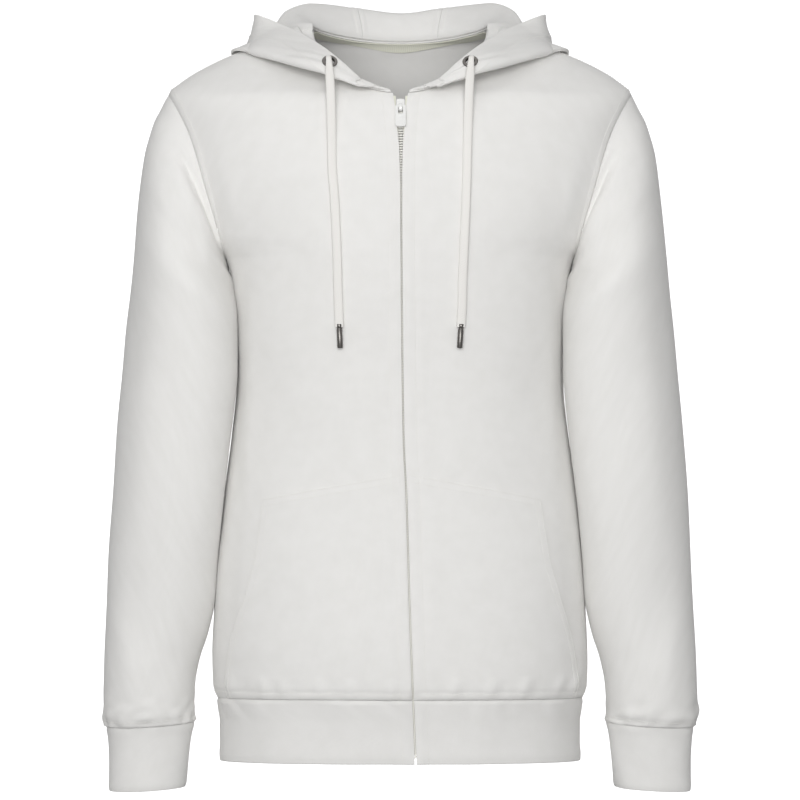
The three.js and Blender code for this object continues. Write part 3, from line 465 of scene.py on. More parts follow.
def shade_smooth(mesh, sharp=None):
    """Smooth shading, with edges sharper than an angle in degrees kept crisp."""
    mesh.polygons.foreach_set("use_smooth", np.ones(len(mesh.polygons), bool))
    if sharp is not None:
        mesh.set_sharp_from_angle(angle=math.radians(sharp))


def mesh_object(name, mesh):
    obj = bpy.data.objects.new(name, mesh)
    bpy.context.scene.collection.objects.link(obj)
    return obj


def dress(obj, material, body=GARMENT, replaces=()):
    """Gives an object its material, and makes it a piece that stands for CAD nodes."""
    obj.data.materials.clear()
    obj.data.materials.append(material)
    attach(obj, body)
    if replaces:
        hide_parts(*replaces)
    return obj


def cloth_piece(
    name, cloth, outer, inner, material=None, cutter=None
):
    """A sewn piece: its wall and the node it stands for; its sheet's size is worked out but not
    kept.
    """
    CLOTHS[name] = cloth
    obj = mesh_object(name + "_cloth", cloth.mesh(name, outer, inner))
    if cutter:
        cut_out(obj, cutter)
    dress(obj, material or jersey_material(), replaces=[name])
    flat, area = cloth.sizes()
    return obj


# Creases: soft ridges and troughs in the cloth, each a function of place on the piece
def ripple(x, z, seed, size):
    """Faint unevenness of worn jersey, about 1 mm either way."""
    rng = np.random.default_rng(seed)
    total = np.zeros(np.broadcast(x, z).shape)
    for _ in range(10):
        turn = rng.uniform(0, 2 * math.pi)
        length = size * rng.uniform(0.6, 1.7)
        phase = rng.uniform(0, 2 * math.pi)
        total += np.sin(2 * math.pi * (x * math.cos(turn) + z * math.sin(turn)) / length + phase)
    return total / math.sqrt(10)


def crease(x, z, path, width, height):
    """A ridge along a path, or a trough where height is negative, fading at both ends."""
    path = np.array(path, float)
    lengths = np.linalg.norm(np.diff(path, axis=0), axis=1)
    nearest = np.full(np.broadcast(x, z).shape, 1e9)
    along = np.zeros_like(nearest)
    done = 0.0
    for a, b, length in zip(path[:-1], path[1:], lengths):
        t = np.clip(((x - a[0]) * (b[0] - a[0]) + (z - a[1]) * (b[1] - a[1])) / length**2, 0, 1)
        d = np.hypot(x - mix(a[0], b[0], t), z - mix(a[1], b[1], t))
        closer = d < nearest
        nearest = np.where(closer, d, nearest)
        along = np.where(closer, (done + t * length) / lengths.sum(), along)
        done += length
    fade = np.sin(math.pi * np.clip(along, 0, 1)) ** 0.7
    return height * np.exp(-((nearest / width) ** 2)) * fade


def creases(x, z, rows):
    return sum(crease(x, z, *row) for row in rows)


def edge_distances(grid):
    """How far each point is from the first and last column, and first and last row, in mm."""
    across = np.linalg.norm(np.diff(grid, axis=1), axis=-1)
    up = np.linalg.norm(np.diff(grid, axis=0), axis=-1)
    left = np.concatenate([np.zeros((grid.shape[0], 1)), np.cumsum(across, axis=1)], axis=1)
    low = np.concatenate([np.zeros((1, grid.shape[1])), np.cumsum(up, axis=0)], axis=0)
    return left, left[:, -1:] - left, low, low[-1:] - low


def welt(distance, width=6.5, height=0.8):
    """Seam allowances pressed to one side and stitched down: a low step beside the seam."""
    step = smooth(distance / 2.5) * (1 - smooth((distance - width) / 2.5))
    return height * step - 0.35 * np.exp(-(((distance - width - 1) / 1.3) ** 2))


def mirrored(folds):
    return [([(-x, z) for x, z in path], width, height) for path, width, height in folds]


# Each row is a path of (x, z) points, a half width and a height; the side folds are mirrored
SIDE_FOLDS = [
    ([(-151, -215), (-156, -262), (-158, -330), (-160, -410), (-158, -470)], 7, -1.7),
    ([(-141, -235), (-145, -300), (-147, -380), (-150, -450)], 9, 1.0),
    ([(-163, -470), (-165, -530), (-170, -590), (-173, -640)], 8, -1.2),
    ([(-166, -205), (-150, -188), (-128, -170)], 7, -1.0),
    ([(-128, -210), (-133, -255), (-138, -320)], 28, 3.2),
    ([(-172, -120), (-168, -150), (-160, -185)], 9, 1.1),
    ([(-92, -60), (-128, -62), (-175, -76)], 12, 0.8),
]
FRONT_FOLDS = [
    ([(-36, -470), (-30, -520), (-22, -580), (-20, -640)], 9, 0.9),
    ([(-60, -250), (-52, -330), (-48, -400)], 20, 0.7),
    ([(28, -440), (34, -500), (33, -570), (30, -630)], 10, 0.8),
    ([(58, -180), (66, -260), (60, -340)], 20, 0.6),
    ([(-8, -400), (-14, -450), (-16, -520)], 6, -0.6),
    ([(-120, -520), (-80, -545), (-40, -556)], 16, 0.5),
    ([(120, -505), (84, -530), (44, -548)], 16, 0.5),
]
BAND_PUCKERS = [-168, -135, -118, -80, -52, -12, 6, 48, 84, 116, 150, 166]
FRONT_CREASES = (
    SIDE_FOLDS
    + mirrored(SIDE_FOLDS)
    + FRONT_FOLDS
    + [([(x, -650), (x + 3, -641), (x + 5 + 0.03 * x, -628)], 4.5, 1.7) for x in BAND_PUCKERS]
    + [([(x + 14, -650), (x + 16, -640), (x + 15, -630)], 4, -0.9) for x in BAND_PUCKERS]
)
BACK_CREASES = (
    SIDE_FOLDS[:3]
    + mirrored(SIDE_FOLDS[:3])
    + [
        ([(-150, -190), (-110, -215), (-60, -232)], 14, 1.3),
        ([(150, -190), (112, -218), (64, -236)], 14, 1.3),
        ([(-120, -400), (-60, -425), (0, -432), (66, -420), (126, -398)], 15, 1.6),
        ([(-110, -440), (-50, -460), (20, -466), (100, -444)], 13, -1.3),
        ([(-90, -300), (-84, -360), (-92, -430)], 16, 1.0),
        ([(96, -310), (88, -370), (94, -440)], 16, 1.0),
    ]
    + [([(x, -650), (x + 3, -640), (x + 4, -626)], 4.5, 1.3) for x in BAND_PUCKERS]
)


def torso_lift(x, z, face):
    """What the front and the pocket on it, or the back, share."""
    lift = 0.5 * ripple(x, z, 3 if face == "front" else 4, 120)
    lift += creases(x, z, FRONT_CREASES if face == "front" else BACK_CREASES)
    fade = smooth((z - BAND_SEAM_Z) / 14)
    return lift * fade


def armhole_normals(points, side):
    axis = ARMHOLE_AXIS * [side, 1, 1]
    return flatten(points - ARMHOLE_CENTRE * [side, 1, 1], axis)


def finish_panel(cloth, face, side, open_edge):
    """Draws a panel's seams back by half the gap and sets their rims square to them."""
    toward = -1 if face == "front" else 1
    grid, normals = cloth.grid, cloth.normals
    below, beside = slice(LOWER_ROWS + 1), slice(LOWER_ROWS, None)
    ends = [(-1, 1)] if open_edge else [(0, -1), (-1, 1)]
    for column, mirror in ends:
        normals[below, column] = flatten(normals[below, column], [0, 1, 0])
        grid[below, column, 1] += toward * SEAM_GAP / 2
        own = ARMHOLE_AXIS * [side * mirror, 1, 1]
        normals[beside, column] = armhole_normals(grid[beside, column], side * mirror)
        grid[beside, column] -= own * SEAM_GAP / 2
    if open_edge:
        normals[:, 0] = flatten(normals[:, 0], [1, 0, 0])
    x = grid[-1, :, 0]
    on_shoulder = np.abs(x) >= NECK_HALF_WIDTH - 0.01
    inside = on_shoulder & (np.abs(np.abs(x) - SHOULDER_TIP_X) > 1)
    normals[-1, inside] = shoulder_slope(x[inside])
    grid[-1, on_shoulder, 1] = toward * SEAM_GAP / 2
    normals[0] = flatten(normals[0], HEM_NORMAL)


def armhole_welt(distance, high):
    """The step beside the armhole seam, on the rows above the underarm only."""
    ridge = welt(distance) * smooth(high / 6)
    ridge[: LOWER_ROWS + 5] = 0
    return ridge


def front_cloth(side):
    grid = panel_grid("front", side)
    grid[..., 0] *= side
    cloth = Cloth(grid, flip=side < 0)
    finish_panel(cloth, "front", side, True)
    centre, armhole, low, high = edge_distances(cloth.grid)
    cloth.lift = torso_lift(cloth.grid[..., 0], cloth.grid[..., 2], "front")
    cloth.lift *= smooth(armhole / 14) * smooth(high / 10) * smooth(0.3 + centre / 20)
    cloth.lift += armhole_welt(armhole, high)
    cloth.lift += band_ridge(low, cloth.grid[..., 0]) * smooth(centre / 3)
    cloth.lift += zip_placket(centre, cloth.grid[..., 2], side) * smooth(high / 6)
    return cloth


def band_ridge(low, x):
    """The raised strip above the waistband seam, a little uneven along its length."""
    uneven = 1 + 0.3 * ripple(x, 0 * x, 17, 42) + 0.22 * ripple(x, 0 * x, 18, 14)
    return welt(low, 6.5, 1.05) * uneven


def zip_placket(centre, z, side):
    """The doubled cloth beside the zip, waved by its stitching."""
    wave = 0.5 * ripple(z, 0 * z, 27 + side, 70)
    ridge = np.exp(-(((centre - 6) / 4) ** 2))
    beyond = np.exp(-(((centre - 17) / 5) ** 2))
    dent = np.exp(-(((centre - 11.5) / 1.5) ** 2))
    return (0.7 + wave) * ridge - 0.5 * dent + (0.35 - 0.6 * wave) * beyond


def back_cloth():
    half = panel_grid("back", 1)
    other = half[:, :0:-1] * [-1, 1, 1]
    cloth = Cloth(np.concatenate([other, half], axis=1), flip=True)
    finish_panel(cloth, "back", 1, False)
    left, right, low, high = edge_distances(cloth.grid)
    seam = np.minimum(left, right)
    cloth.lift = torso_lift(cloth.grid[..., 0], cloth.grid[..., 2], "back")
    cloth.lift *= smooth(seam / 14) * smooth(high / 10)
    cloth.lift += armhole_welt(seam, high)
    cloth.lift += band_ridge(low, cloth.grid[..., 0]) * smooth(seam / 3)
    return cloth


def pocket_cloth(side):
    """Half of the kangaroo pocket: its top edge slants down from the zip to the opening."""
    i = np.linspace(0, POCKET_COLUMN, POCKET_COLUMN * FINE + 1)[None, :]
    j = np.linspace(0, POCKET_ROW, POCKET_ROW * FINE + 1)[:, None]
    z = np.interp(j, np.arange(len(LOWER_LEVELS)), LOWER_LEVELS)
    drop = POCKET_SLANT * (i / POCKET_COLUMN - 0.5)
    z = z - drop * np.clip(1 - np.abs(j - POCKET_ROW) / 3, 0, 1)
    grid = tilt(on_form(section_x(i, z, "front", side), z, "front"))
    grid[:, 0, 0] += 1.2
    grid[..., 0] *= side
    cloth = Cloth(grid, flip=side < 0)
    cloth.normals[:, 0] = flatten(cloth.normals[:, 0], [1, 0, 0])
    cloth.normals[0] = flatten(cloth.normals[0], HEM_NORMAL)
    centre, opening, low, high = edge_distances(grid)
    cloth.lift = torso_lift(grid[..., 0], grid[..., 2], "front") * smooth(0.3 + centre / 20)
    cloth.lift += band_ridge(low, grid[..., 0]) * smooth(centre / 3)
    cloth.lift += zip_placket(centre + 1.2, grid[..., 2], side)
    gape = np.sin(math.pi * np.clip(low / (low + high), 0, 1))
    cloth.lift += np.exp(-opening / 9) * gape
    cloth.lift += welt(high, 7, 0.2) * smooth(centre / 3)
    cloth.pinch = 0.42 * np.exp(-np.minimum(high, opening) / 1.6) * smooth(centre / 3)
    return cloth


def waistband_cloth():
    """One folded band round the hem, from one side of the zip to the other."""
    z = np.concatenate([
        HEM_Z + np.array([0, 0.15, 0.5, 1.1, 1.9, 3, 5, 8, 12]),
        np.linspace(-703, -662, 16),
        [-660.5, -659, -658, BAND_SEAM_Z - SEAM_GAP / 2],
    ])[:, None]
    share = np.linspace(0, 1, 44 * FINE + 1)[None, :]
    half = BODY["half"](z)
    start = np.arcsin((ZIP["gap"](z) + ZIP["line"](z)) / half)
    end = 2 * math.pi - np.arcsin((ZIP["gap"](z) - ZIP["line"](z)) / half)
    angle = mix(start, end, share)
    x = half * np.sin(angle)
    in_front = np.cos(angle) > 0
    front, back = form_depth(x, z, "front"), form_depth(x, z, "back")
    cloth = Cloth(tilt(stack(x, np.where(in_front, -front, back), z)))
    for column in (0, -1):
        cloth.normals[:, column] = flatten(cloth.normals[:, column], [1, 0, 0])
    cloth.normals[-1] = flatten(cloth.normals[-1], HEM_NORMAL)
    around, right, low, high = edge_distances(cloth.grid)
    ends = np.minimum(around, right)
    pucker = 0.9 * ripple(around, 0 * around, 11, 24) * np.exp(-high / 13)
    wave = 0.6 * ripple(around, low * 0.4, 12, 70)
    cloth.lift = (pucker + wave) * smooth(high / 4) * smooth(ends / 16)
    cloth.lift += zip_placket(ends, cloth.grid[..., 2], 1) * smooth(high / 3)
    cloth.lift += smooth(high / 3.5) * smooth(low / 8) * smooth(ends / 8)
    cloth.pinch = round_edge(low, BAND_WALL)
    return cloth


def round_edge(distance, wall):
    """How far each face draws in to the wall's middle to make its edge round."""
    radius = wall / 2
    t = np.clip(1 - distance / radius, 0, 1)
    return radius * 0.92 * (1 - np.sqrt(1 - t * t))


def armhole_point(angle):
    z = mix(UNDERARM_Z, SHOULDER_TIP_Z, np.cos(angle / 2) ** 2)
    in_front = np.sin(angle) >= 0
    x = np.where(in_front, ARMHOLE["front"](z), ARMHOLE["back"](z))
    depth = np.where(in_front, -form_depth(x, z, "front"), form_depth(x, z, "back"))
    depth = np.where(np.abs(np.sin(angle)) < 1e-6, 0, depth)
    return stack(x, depth, z)


def sleeve_point(along, angle):
    outer_z, inner_z = SLEEVE_RINGS["outer_z"](along), SLEEVE_RINGS["inner_z"](along)
    outer_x, inner_x = SLEEVE_OUTER(outer_z), SLEEVE_INNER(inner_z)
    share = (1 + np.cos(angle)) / 2
    y = SLEEVE_RINGS["y"](along) - SLEEVE_RINGS["depth"](along) * np.sin(angle)
    point = stack(mix(inner_x, outer_x, share), y, mix(inner_z, outer_z, share))
    start = stack(
        mix(SLEEVE_INNER(UNDERARM_Z), SLEEVE_OUTER(SHOULDER_TIP_Z), share),
        -SLEEVE_RINGS["depth"](0) * np.sin(angle),
        mix(UNDERARM_Z, SHOULDER_TIP_Z, share),
    )
    fade = (1 - smooth(along / 0.15))[..., None]
    point = point + fade * (armhole_point(angle) - start)
    near = smooth((along - 0.07) / 0.06) * (1 - smooth((along - 0.76) / 0.1))
    forward = smooth((along - 0.15) / 0.12) * (1 - smooth((along - 0.56) / 0.3))
    point[..., 0] -= SLEEVE_TUCK * near * (1 - share) ** 1.5
    point[..., 1] -= SLEEVE_LEAN * forward * (1 - share)
    return point


# How far a sleeve's inner side moves in and forward, to lie against the body
SLEEVE_TUCK = 4.6
SLEEVE_LEAN = 24.0
SLEEVE_LENGTH = 640.0
SLEEVE_ROUND = 2.2
SLEEVE_COLUMNS = 2 * ARMHOLE_ROWS * FINE
# Folds on the front of a sleeve: a path of (x, z) points, a half width and a height
SLEEVE_FOLDS = [
    ([(219, -113), (207, -130), (196, -152), (187, -170), (179, -190), (170, -222)], 4.2, -6.0),
    ([(228, -118), (217, -136), (206, -158), (197, -178), (189, -198), (180, -232)], 8.5, 3.0),
    ([(214, -104), (204, -122), (194, -142), (186, -160)], 4, 0.8),
    ([(226, -328), (214, -380), (199, -420), (200, -480)], 13, -1.6),
    ([(242, -310), (247, -370), (252, -440), (254, -500)], 16, 1.5),
    ([(262, -250), (258, -300), (262, -350)], 12, -1.0),
    ([(205, -500), (214, -560), (226, -610)], 16, 0.8),
    ([(262, -520), (252, -570), (246, -620)], 13, -1.3),
    ([(284, -560), (268, -600), (262, -650)], 10, 1.2),
    ([(214, -606), (232, -630), (248, -660)], 11, -0.7),
    ([(230, -200), (236, -250), (240, -300)], 18, 1.0),
]
SLEEVE_BACK_FOLDS = [
    ([(214, -170), (206, -230), (190, -290)], 14, 2.0),
    ([(240, -330), (214, -352), (188, -366)], 12, 1.8),
    ([(252, -368), (222, -384), (190, -390)], 10, -1.6),
    ([(258, -402), (232, -418), (198, -424)], 12, 1.5),
    ([(240, -480), (236, -560), (244, -630)], 16, 1.4),
]
CUFF_AXIS = np.array([0.057, 0.0, 0.998])


def sleeve_cloth(side):
    along = np.concatenate([
        [0, 0.002, 0.004, 0.007], np.linspace(0.011, 0.985, 136), [0.99, 0.994, 0.997, 1],
    ])[:, None]
    angle = np.linspace(0, 2 * math.pi, SLEEVE_COLUMNS, endpoint=False)[None, :]
    cloth = Cloth(sleeve_point(along, angle) * [side, 1, 1], closed=True, flip=side < 0)
    cloth.normals[0] = armhole_normals(cloth.grid[0], side)
    cloth.grid[0] += ARMHOLE_AXIS * [side, 1, 1] * SEAM_GAP / 2
    cloth.normals[-1] = flatten(cloth.normals[-1], CUFF_AXIS * [side, 1, 1])
    down = along * SLEEVE_LENGTH
    turn = np.degrees(np.where(angle > 1.5 * math.pi, angle - 2 * math.pi, angle))
    x, z = np.abs(cloth.grid[..., 0]), cloth.grid[..., 2]
    in_front = smooth(0.1 + 2.2 * np.sin(angle))
    behind = smooth(0.1 - 2.2 * np.sin(angle))
    lift = 0.45 * ripple(x + 40 * side, z * 0.6, 41 + side, 90)
    lift = lift + in_front * creases(x + 2 * side, z, SLEEVE_FOLDS)
    lift += behind * creases(x, z + 6 * side, SLEEVE_BACK_FOLDS)
    up = SLEEVE_LENGTH - down
    gather = 1.3 * np.sin(np.radians(turn) * 12 + 1.4 * np.sin(np.radians(turn) * 3 + side))
    lift += gather * np.exp(-up / 14)
    above_cuff = np.exp(-(((up - 24) / 22) ** 2))
    lift += 0.8 * ripple(turn * SLEEVE_ROUND * 0.5, up, 47 + side, 34) * above_cuff
    cloth.lift = lift * smooth(down / 10) * smooth(up / 5) + welt(up + 0 * turn, 5.5, 0.9)
    return cloth


def cuff_cloth(side):
    along = np.concatenate([
        [0, 0.01, 0.03, 0.07], np.linspace(0.12, 0.94, 22), [0.965, 0.98, 0.99, 0.996, 0.999, 1],
    ])[:, None]
    angle = np.linspace(0, 2 * math.pi, SLEEVE_COLUMNS, endpoint=False)[None, :]
    share = (1 + np.cos(angle)) / 2
    x = mix(CUFF_RINGS["inner_x"](along), CUFF_RINGS["outer_x"](along), share)
    z = mix(CUFF_RINGS["inner_z"](along), CUFF_RINGS["outer_z"](along), share)
    y = SLEEVE_RINGS["y"](1) - CUFF_RINGS["depth"](along) * np.sin(angle)
    cloth = Cloth(stack(side * x, y, z), closed=True, flip=side < 0)
    cloth.normals[0] = flatten(cloth.normals[0], CUFF_AXIS * [side, 1, 1])
    high, low = along * 65, (1 - along) * 65
    turn = angle * 42
    gather = 0.5 * ripple(turn, 0 * turn, 21 + side, 24) * np.exp(-high / 12)
    cloth.lift = (gather + 0.35 * ripple(turn, low, 23 + side, 60)) * smooth(high / 5)
    cloth.lift += 0.9 * smooth(high / 6) * smooth(low / 6)
    cloth.pinch = round_edge(low + 0 * turn, BAND_WALL)
    return cloth


# The hood
def off_form(p):
    """How far points are outside the body form, and the direction straight out of it."""

    def level(x, y, z):
        depth = np.where(y < 0, BODY["front"](z), BODY["back"](z))
        across = np.abs(x) / BODY["half"](z)
        return (across**SECTION_POWER + (np.abs(y) / depth) ** SECTION_POWER) ** (1 / SECTION_POWER)

    x, y, z = p[..., 0], p[..., 1], p[..., 2]
    out = stack(
        level(x + 0.5, y, z) - level(x - 0.5, y, z),
        level(x, y + 0.5, z) - level(x, y - 0.5, z),
        level(x, y, z + 0.5) - level(x, y, z - 0.5),
    )
    slope = np.maximum(np.linalg.norm(out, axis=-1), 1e-4)
    return (level(x, y, z) - 1) / slope, out / slope[..., None]


def clear_of_body(p, clearance):
    """Moves points off the body form; above the shoulders there is no body to clear."""
    for _ in range(6):
        distance, out = off_form(p)
        short = np.where(distance >= clearance, 0, np.minimum(6, clearance - distance))
        short = short * (1 - smooth((p[..., 2] - NECK_SIDE_Z) / 5))
        p = p + out * short[..., None]
    return p


def rolled(apex, before, after, radius):
    """The three points that carry the cloth round a turn of the hood."""
    to_before, to_after = unit(before - apex), unit(after - apex)
    inside, across = unit(to_before + to_after), unit(to_after - to_before)
    r = np.asarray(radius)[..., None]
    return [apex + 0.55 * r * inside - 0.87 * r * across, apex,
            apex + 0.55 * r * inside + 0.87 * r * across]


def catmull(points, t):
    """A centripetal Catmull-Rom curve through the points, read at positions counted in points."""
    p = np.stack(points)
    p = np.concatenate([[2 * p[0] - p[1]], p, [2 * p[-1] - p[-2]]])
    i = np.clip(np.floor(t).astype(int), 0, len(points) - 2)
    w = (t - i).reshape((-1,) + (1,) * (p.ndim - 1))
    x0, x1, x2, x3 = p[i], p[i + 1], p[i + 2], p[i + 3]
    d0, d1, d2 = (
        np.maximum(((b - a) ** 2).sum(-1, keepdims=True) ** 0.25, 1e-4)
        for a, b in ((x0, x1), (x1, x2), (x2, x3))
    )
    t1 = ((x1 - x0) / d0 - (x2 - x0) / (d0 + d1) + (x2 - x1) / d1) * d1
    t2 = ((x2 - x1) / d1 - (x3 - x1) / (d1 + d2) + (x3 - x2) / d2) * d1
    cubic = 2 * x1 - 2 * x2 + t1 + t2
    square = -3 * x1 + 3 * x2 - 2 * t1 - t2
    return x1 + t1 * w + square * w**2 + cubic * w**3


def read_curves(curves, along):
    return stack(*(curves[axis](along) for axis in "xyz"))


def hood_points(along, levels):
    """Points of the hood: rows are levels from the neck seam (0) to the mouth edge (8)."""
    neck = neck_point(180 * np.abs(along))
    neck[..., 0] *= np.where(along < 0, -1, 1)
    neck[..., 2] += SEAM_GAP
    crest, fold, mouth = (read_curves(curves, along) for curves in (CREST, FOLD, MOUTH))
    # The cloth stands up from the neck seam at the back and the front, and lies low at the sides
    stand = neck.copy()
    turned = np.abs(along)
    behind = smooth((0.4 - turned) / 0.2)
    before = smooth((turned - 0.56) / 0.1) * smooth((1 - turned) / 0.2)
    stand[..., 2] += mix(1.2, 7, behind + before)
    points = [neck, stand, *rolled(crest, neck, fold, CREST["roll"](along)),
              *rolled(fold, crest, mouth, FOLD["roll"](along)), mouth]
    grid = catmull(points, levels)
    beside = np.exp(-(((turned - 0.52) / 0.075) ** 2))[None, :]
    pinched = np.sin(math.pi * np.clip((levels - 6.2) / 1.8, 0, 1))[:, None]
    grid[..., 0] -= 14 * beside * pinched * np.sign(along)
    clear = clear_of_body(grid, HOOD_WALL / 2 + HOOD_CLEARANCE)
    return np.where((levels < 1.5)[:, None, None], grid, clear)


HOOD_LEVELS = np.concatenate([
    [0, 0.15, 0.4, 0.7], np.linspace(1, 4, 33), np.linspace(4.08, 5, 26)[:-1],
    np.linspace(5, 7, 24)[:-1], np.linspace(7, 7.94, 24), [7.96, 7.975, 7.985, 7.993, 7.998, 8],
])


def hood_cloth(along, side, seam_first, seam_last):
    grid = hood_points(along, HOOD_LEVELS) * [side, 1, 1]
    cloth = Cloth(grid, flip=side < 0)
    cloth.normals[0] = unit(grid[0] * [1, 1, 0])
    for column, inner, is_seam in ((0, 1, seam_first), (-1, -2, seam_last)):
        if is_seam:
            inward = unit(cloth.grid[:, inner] - cloth.grid[:, column])
            cloth.grid[:, column] += inward * SEAM_GAP
            cloth.normals[:, column] = flatten(cloth.normals[:, column], inward)
    first, last, low, high = edge_distances(cloth.grid)
    seam = np.minimum(first if seam_first else first + 50, last if seam_last else last + 50)
    lift = 0.45 * ripple(first + 90 * side, low, 31 + side, 80)
    lift *= smooth(seam / 12) * smooth(low / 30) * smooth(high / 12)
    lift -= 0.5 * np.exp(-(((high - 24) / 1.8) ** 2)) * smooth(seam / 4)
    lift += welt(seam, 5, 0.35) * smooth(low / 12)
    cloth.lift = lift
    cloth.pinch = round_edge(high, HOOD_WALL)
    if not seam_last:
        cloth.pinch = np.maximum(cloth.pinch, round_edge(last, HOOD_WALL))
    return cloth


def hood_side_cloth(side):
    along = np.concatenate([np.linspace(HOOD_SEAM_ALONG, 0.38, 44)[:-1],
                            np.linspace(0.38, 0.5, 34)[:-1], np.linspace(0.5, 0.95, 66)[:-1],
                            np.linspace(0.95, HOOD_END_ALONG - 0.003, 6),
                            [HOOD_END_ALONG - 0.0015, HOOD_END_ALONG - 0.0005, HOOD_END_ALONG]])
    return hood_cloth(along, side, True, False)


def hood_centre_cloth():
    return hood_cloth(np.linspace(-HOOD_SEAM_ALONG, HOOD_SEAM_ALONG, 61), 1, True, True)


def height_on_back(x, y):
    low, high = np.full(x.shape, SHOULDER_TIP_Z), np.full(x.shape, NECK_SIDE_Z)
    for _ in range(40):
        middle = (low + high) / 2
        under = (BODY["half"](middle) > np.abs(x)) & (form_depth(x, middle, "back") > y)
        low, high = np.where(under, middle, low), np.where(under, high, middle)
    return (low + high) / 2


def neck_tape_cloth():
    """The tape over the neck seam, on the inside of the back."""
    angle = np.radians(np.linspace(-72, 72, 90))[None, :]
    low = np.linspace(1, 0, 8)[:, None]
    spread = mix(0.8, 7 + 4 * np.sin(angle) ** 2, low)
    x = (NECK_HALF_WIDTH + spread) * np.sin(angle)
    y = (NECK_BACK_DEPTH + spread) * np.cos(angle)
    return Cloth(stack(x, y, height_on_back(x, y)), flip=True)


# The zip, the slider with its pull tab, and the metal trim
ZIP_DEPTH = 2.2
ZIP_TOP_Z = -63.5
ZIP_BOTTOM_Z = -714.0
TAPE_REACH = 15.0
TAPE_WALL = 0.9
TOOTH_PITCH = 2.6
CHAIN_TOP_Z = -79.5
HINGE_Z = -76.5
HINGE_OUT = 1.9
BAIL_STRETCH = 1.9
METAL_SHARP = 40


def zip_tape_cloth(side):
    z = np.linspace(ZIP_BOTTOM_Z, ZIP_TOP_Z, 260)[:, None]
    near = np.where(z > -79.2, 4.7, 2.6)
    line = ZIP["line"](z)
    edge, far = line + side * near, line + side * TAPE_REACH
    share = np.linspace(0, 1, 6)[None, :]
    x = mix(edge, far, share) if side > 0 else mix(far, edge, share)
    return Cloth(tilt(on_form(x, z, "front")))


def slider_place():
    """The slider's frame: its Z runs up the zip, its Y runs into the body."""
    x = float(ZIP["line"](HINGE_Z))
    here = on_form(np.array(x), np.array(HINGE_Z), "front")
    above = on_form(np.array(x), np.array(HINGE_Z + 8), "front")
    lean = -math.atan2(above[1] - here[1], 8)
    return Matrix.Translation(Vector(here * MM)) @ Matrix.Rotation(lean, 4, "X")


def rounded_plate(half_width, low, high, front, back, corner, low_corner=None, steps=6):
    """Points and faces of a plate with rounded corners, in X and Z, in millimetres."""
    low_corner = corner if low_corner is None else low_corner
    outline = []
    for cx, cz, r, start in (
        (half_width - low_corner, low + low_corner, low_corner, -90),
        (half_width - corner, high - corner, corner, 0),
        (corner - half_width, high - corner, corner, 90),
        (low_corner - half_width, low + low_corner, low_corner, 180),
    ):
        for k in range(steps + 1):
            a = math.radians(start + 90 * k / steps)
            outline.append((cx + r * math.cos(a), cz + r * math.sin(a)))
    return extrude(outline, front, back)


def extrude(outline, front, back):
    """Points and faces of a bar along Y with an outline in X and Z."""
    n = len(outline)
    points = [(x, y, z) for y in (front, back) for x, z in outline]
    faces = [tuple(range(n)), tuple(range(2 * n - 1, n - 1, -1))]
    faces += [(k + n, (k + 1) % n + n, (k + 1) % n, k) for k in range(n)]
    return points, faces


def prism(radius, front, back, sides=32):
    """Points and faces of a round bar along Y."""
    turns = [2 * math.pi * k / sides for k in range(sides)]
    return extrude([(radius * math.cos(a), radius * math.sin(a)) for a in turns], front, back)


def solid_object(name, points, faces, place=Matrix.Identity(4), bevel=0.0, segments=3):
    """A closed mesh object in its place, with its sharp edges rounded."""
    mesh = bpy.data.meshes.new(name)
    mesh.from_pydata([tuple(c * MM for c in p) for p in points], [], faces)
    mesh.transform(place)
    obj = mesh_object(name, mesh)
    if bevel:
        round_off(obj, bevel, segments)
    shade_smooth(obj.data, METAL_SHARP)
    return obj


def round_off(obj, width, segments=3):
    """Rounds an object's sharp edges by a width in millimetres."""
    edges = obj.modifiers.new("rounding", "BEVEL")
    edges.width = width * MM
    edges.segments = segments
    edges.limit_method = "ANGLE"
    edges.angle_limit = math.radians(METAL_SHARP)
    bake(obj)


def cut_out(obj, cutter):
    """Cuts one object's shape out of another, and removes the cutter."""
    cut = obj.modifiers.new("cut", "BOOLEAN")
    cut.operation = "DIFFERENCE"
    cut.object = cutter
    bake(obj)
    bpy.data.objects.remove(cutter)


def bake(obj):
    """Replaces an object's mesh by what its modifiers make of it."""
    graph = bpy.context.evaluated_depsgraph_get()
    made = bpy.data.meshes.new_from_object(obj.evaluated_get(graph))
    obj.modifiers.clear()
    obj.data = made


def join(objects, name):
    """Joins mesh objects into one."""
    with bpy.context.temp_override(active_object=objects[0], selected_editable_objects=objects):
        bpy.ops.object.join()
    objects[0].name = name
    return objects[0]


def lathe_object(name, profile, place, segments=48):
    """A ring turned about Y from a closed profile of (radius, y) points."""
    points, faces = [], []
    n = len(profile)
    for k in range(segments):
        a = 2 * math.pi * k / segments
        points += [(r * math.cos(a), y, r * math.sin(a)) for r, y in profile]
    for k in range(segments):
        here, there = k * n, (k + 1) % segments * n
        faces += [(here + i, here + (i + 1) % n, there + (i + 1) % n, there + i) for i in range(n)]
    return solid_object(name, points, faces, place)


# Where the eyelets sit on the hood, and their radii
EYELET = {"along": 0.876, "level": 7.48, "hole": 4.5, "barrel": 5.3, "flange": 7.6}


def eyelet_place(side):
    """Where an eyelet sits on the hood's face, turned to face outwards."""
    along, level = EYELET["along"], EYELET["level"]
    near = np.array([along - 0.01, along, along + 0.01])
    grid = hood_points(near, np.array([level - 0.1, level, level + 0.1])) * [side, 1, 1]
    out = np.cross(grid[1, 2] - grid[1, 0], grid[2, 1] - grid[0, 1]) * side
    out = unit(out) * (-1 if unit(out)[1] > 0 else 1)
    turn = Vector((0, 1, 0)).rotation_difference(Vector(out))
    return Matrix.Translation(Vector(grid[1, 1] * MM)) @ turn.to_matrix().to_4x4()


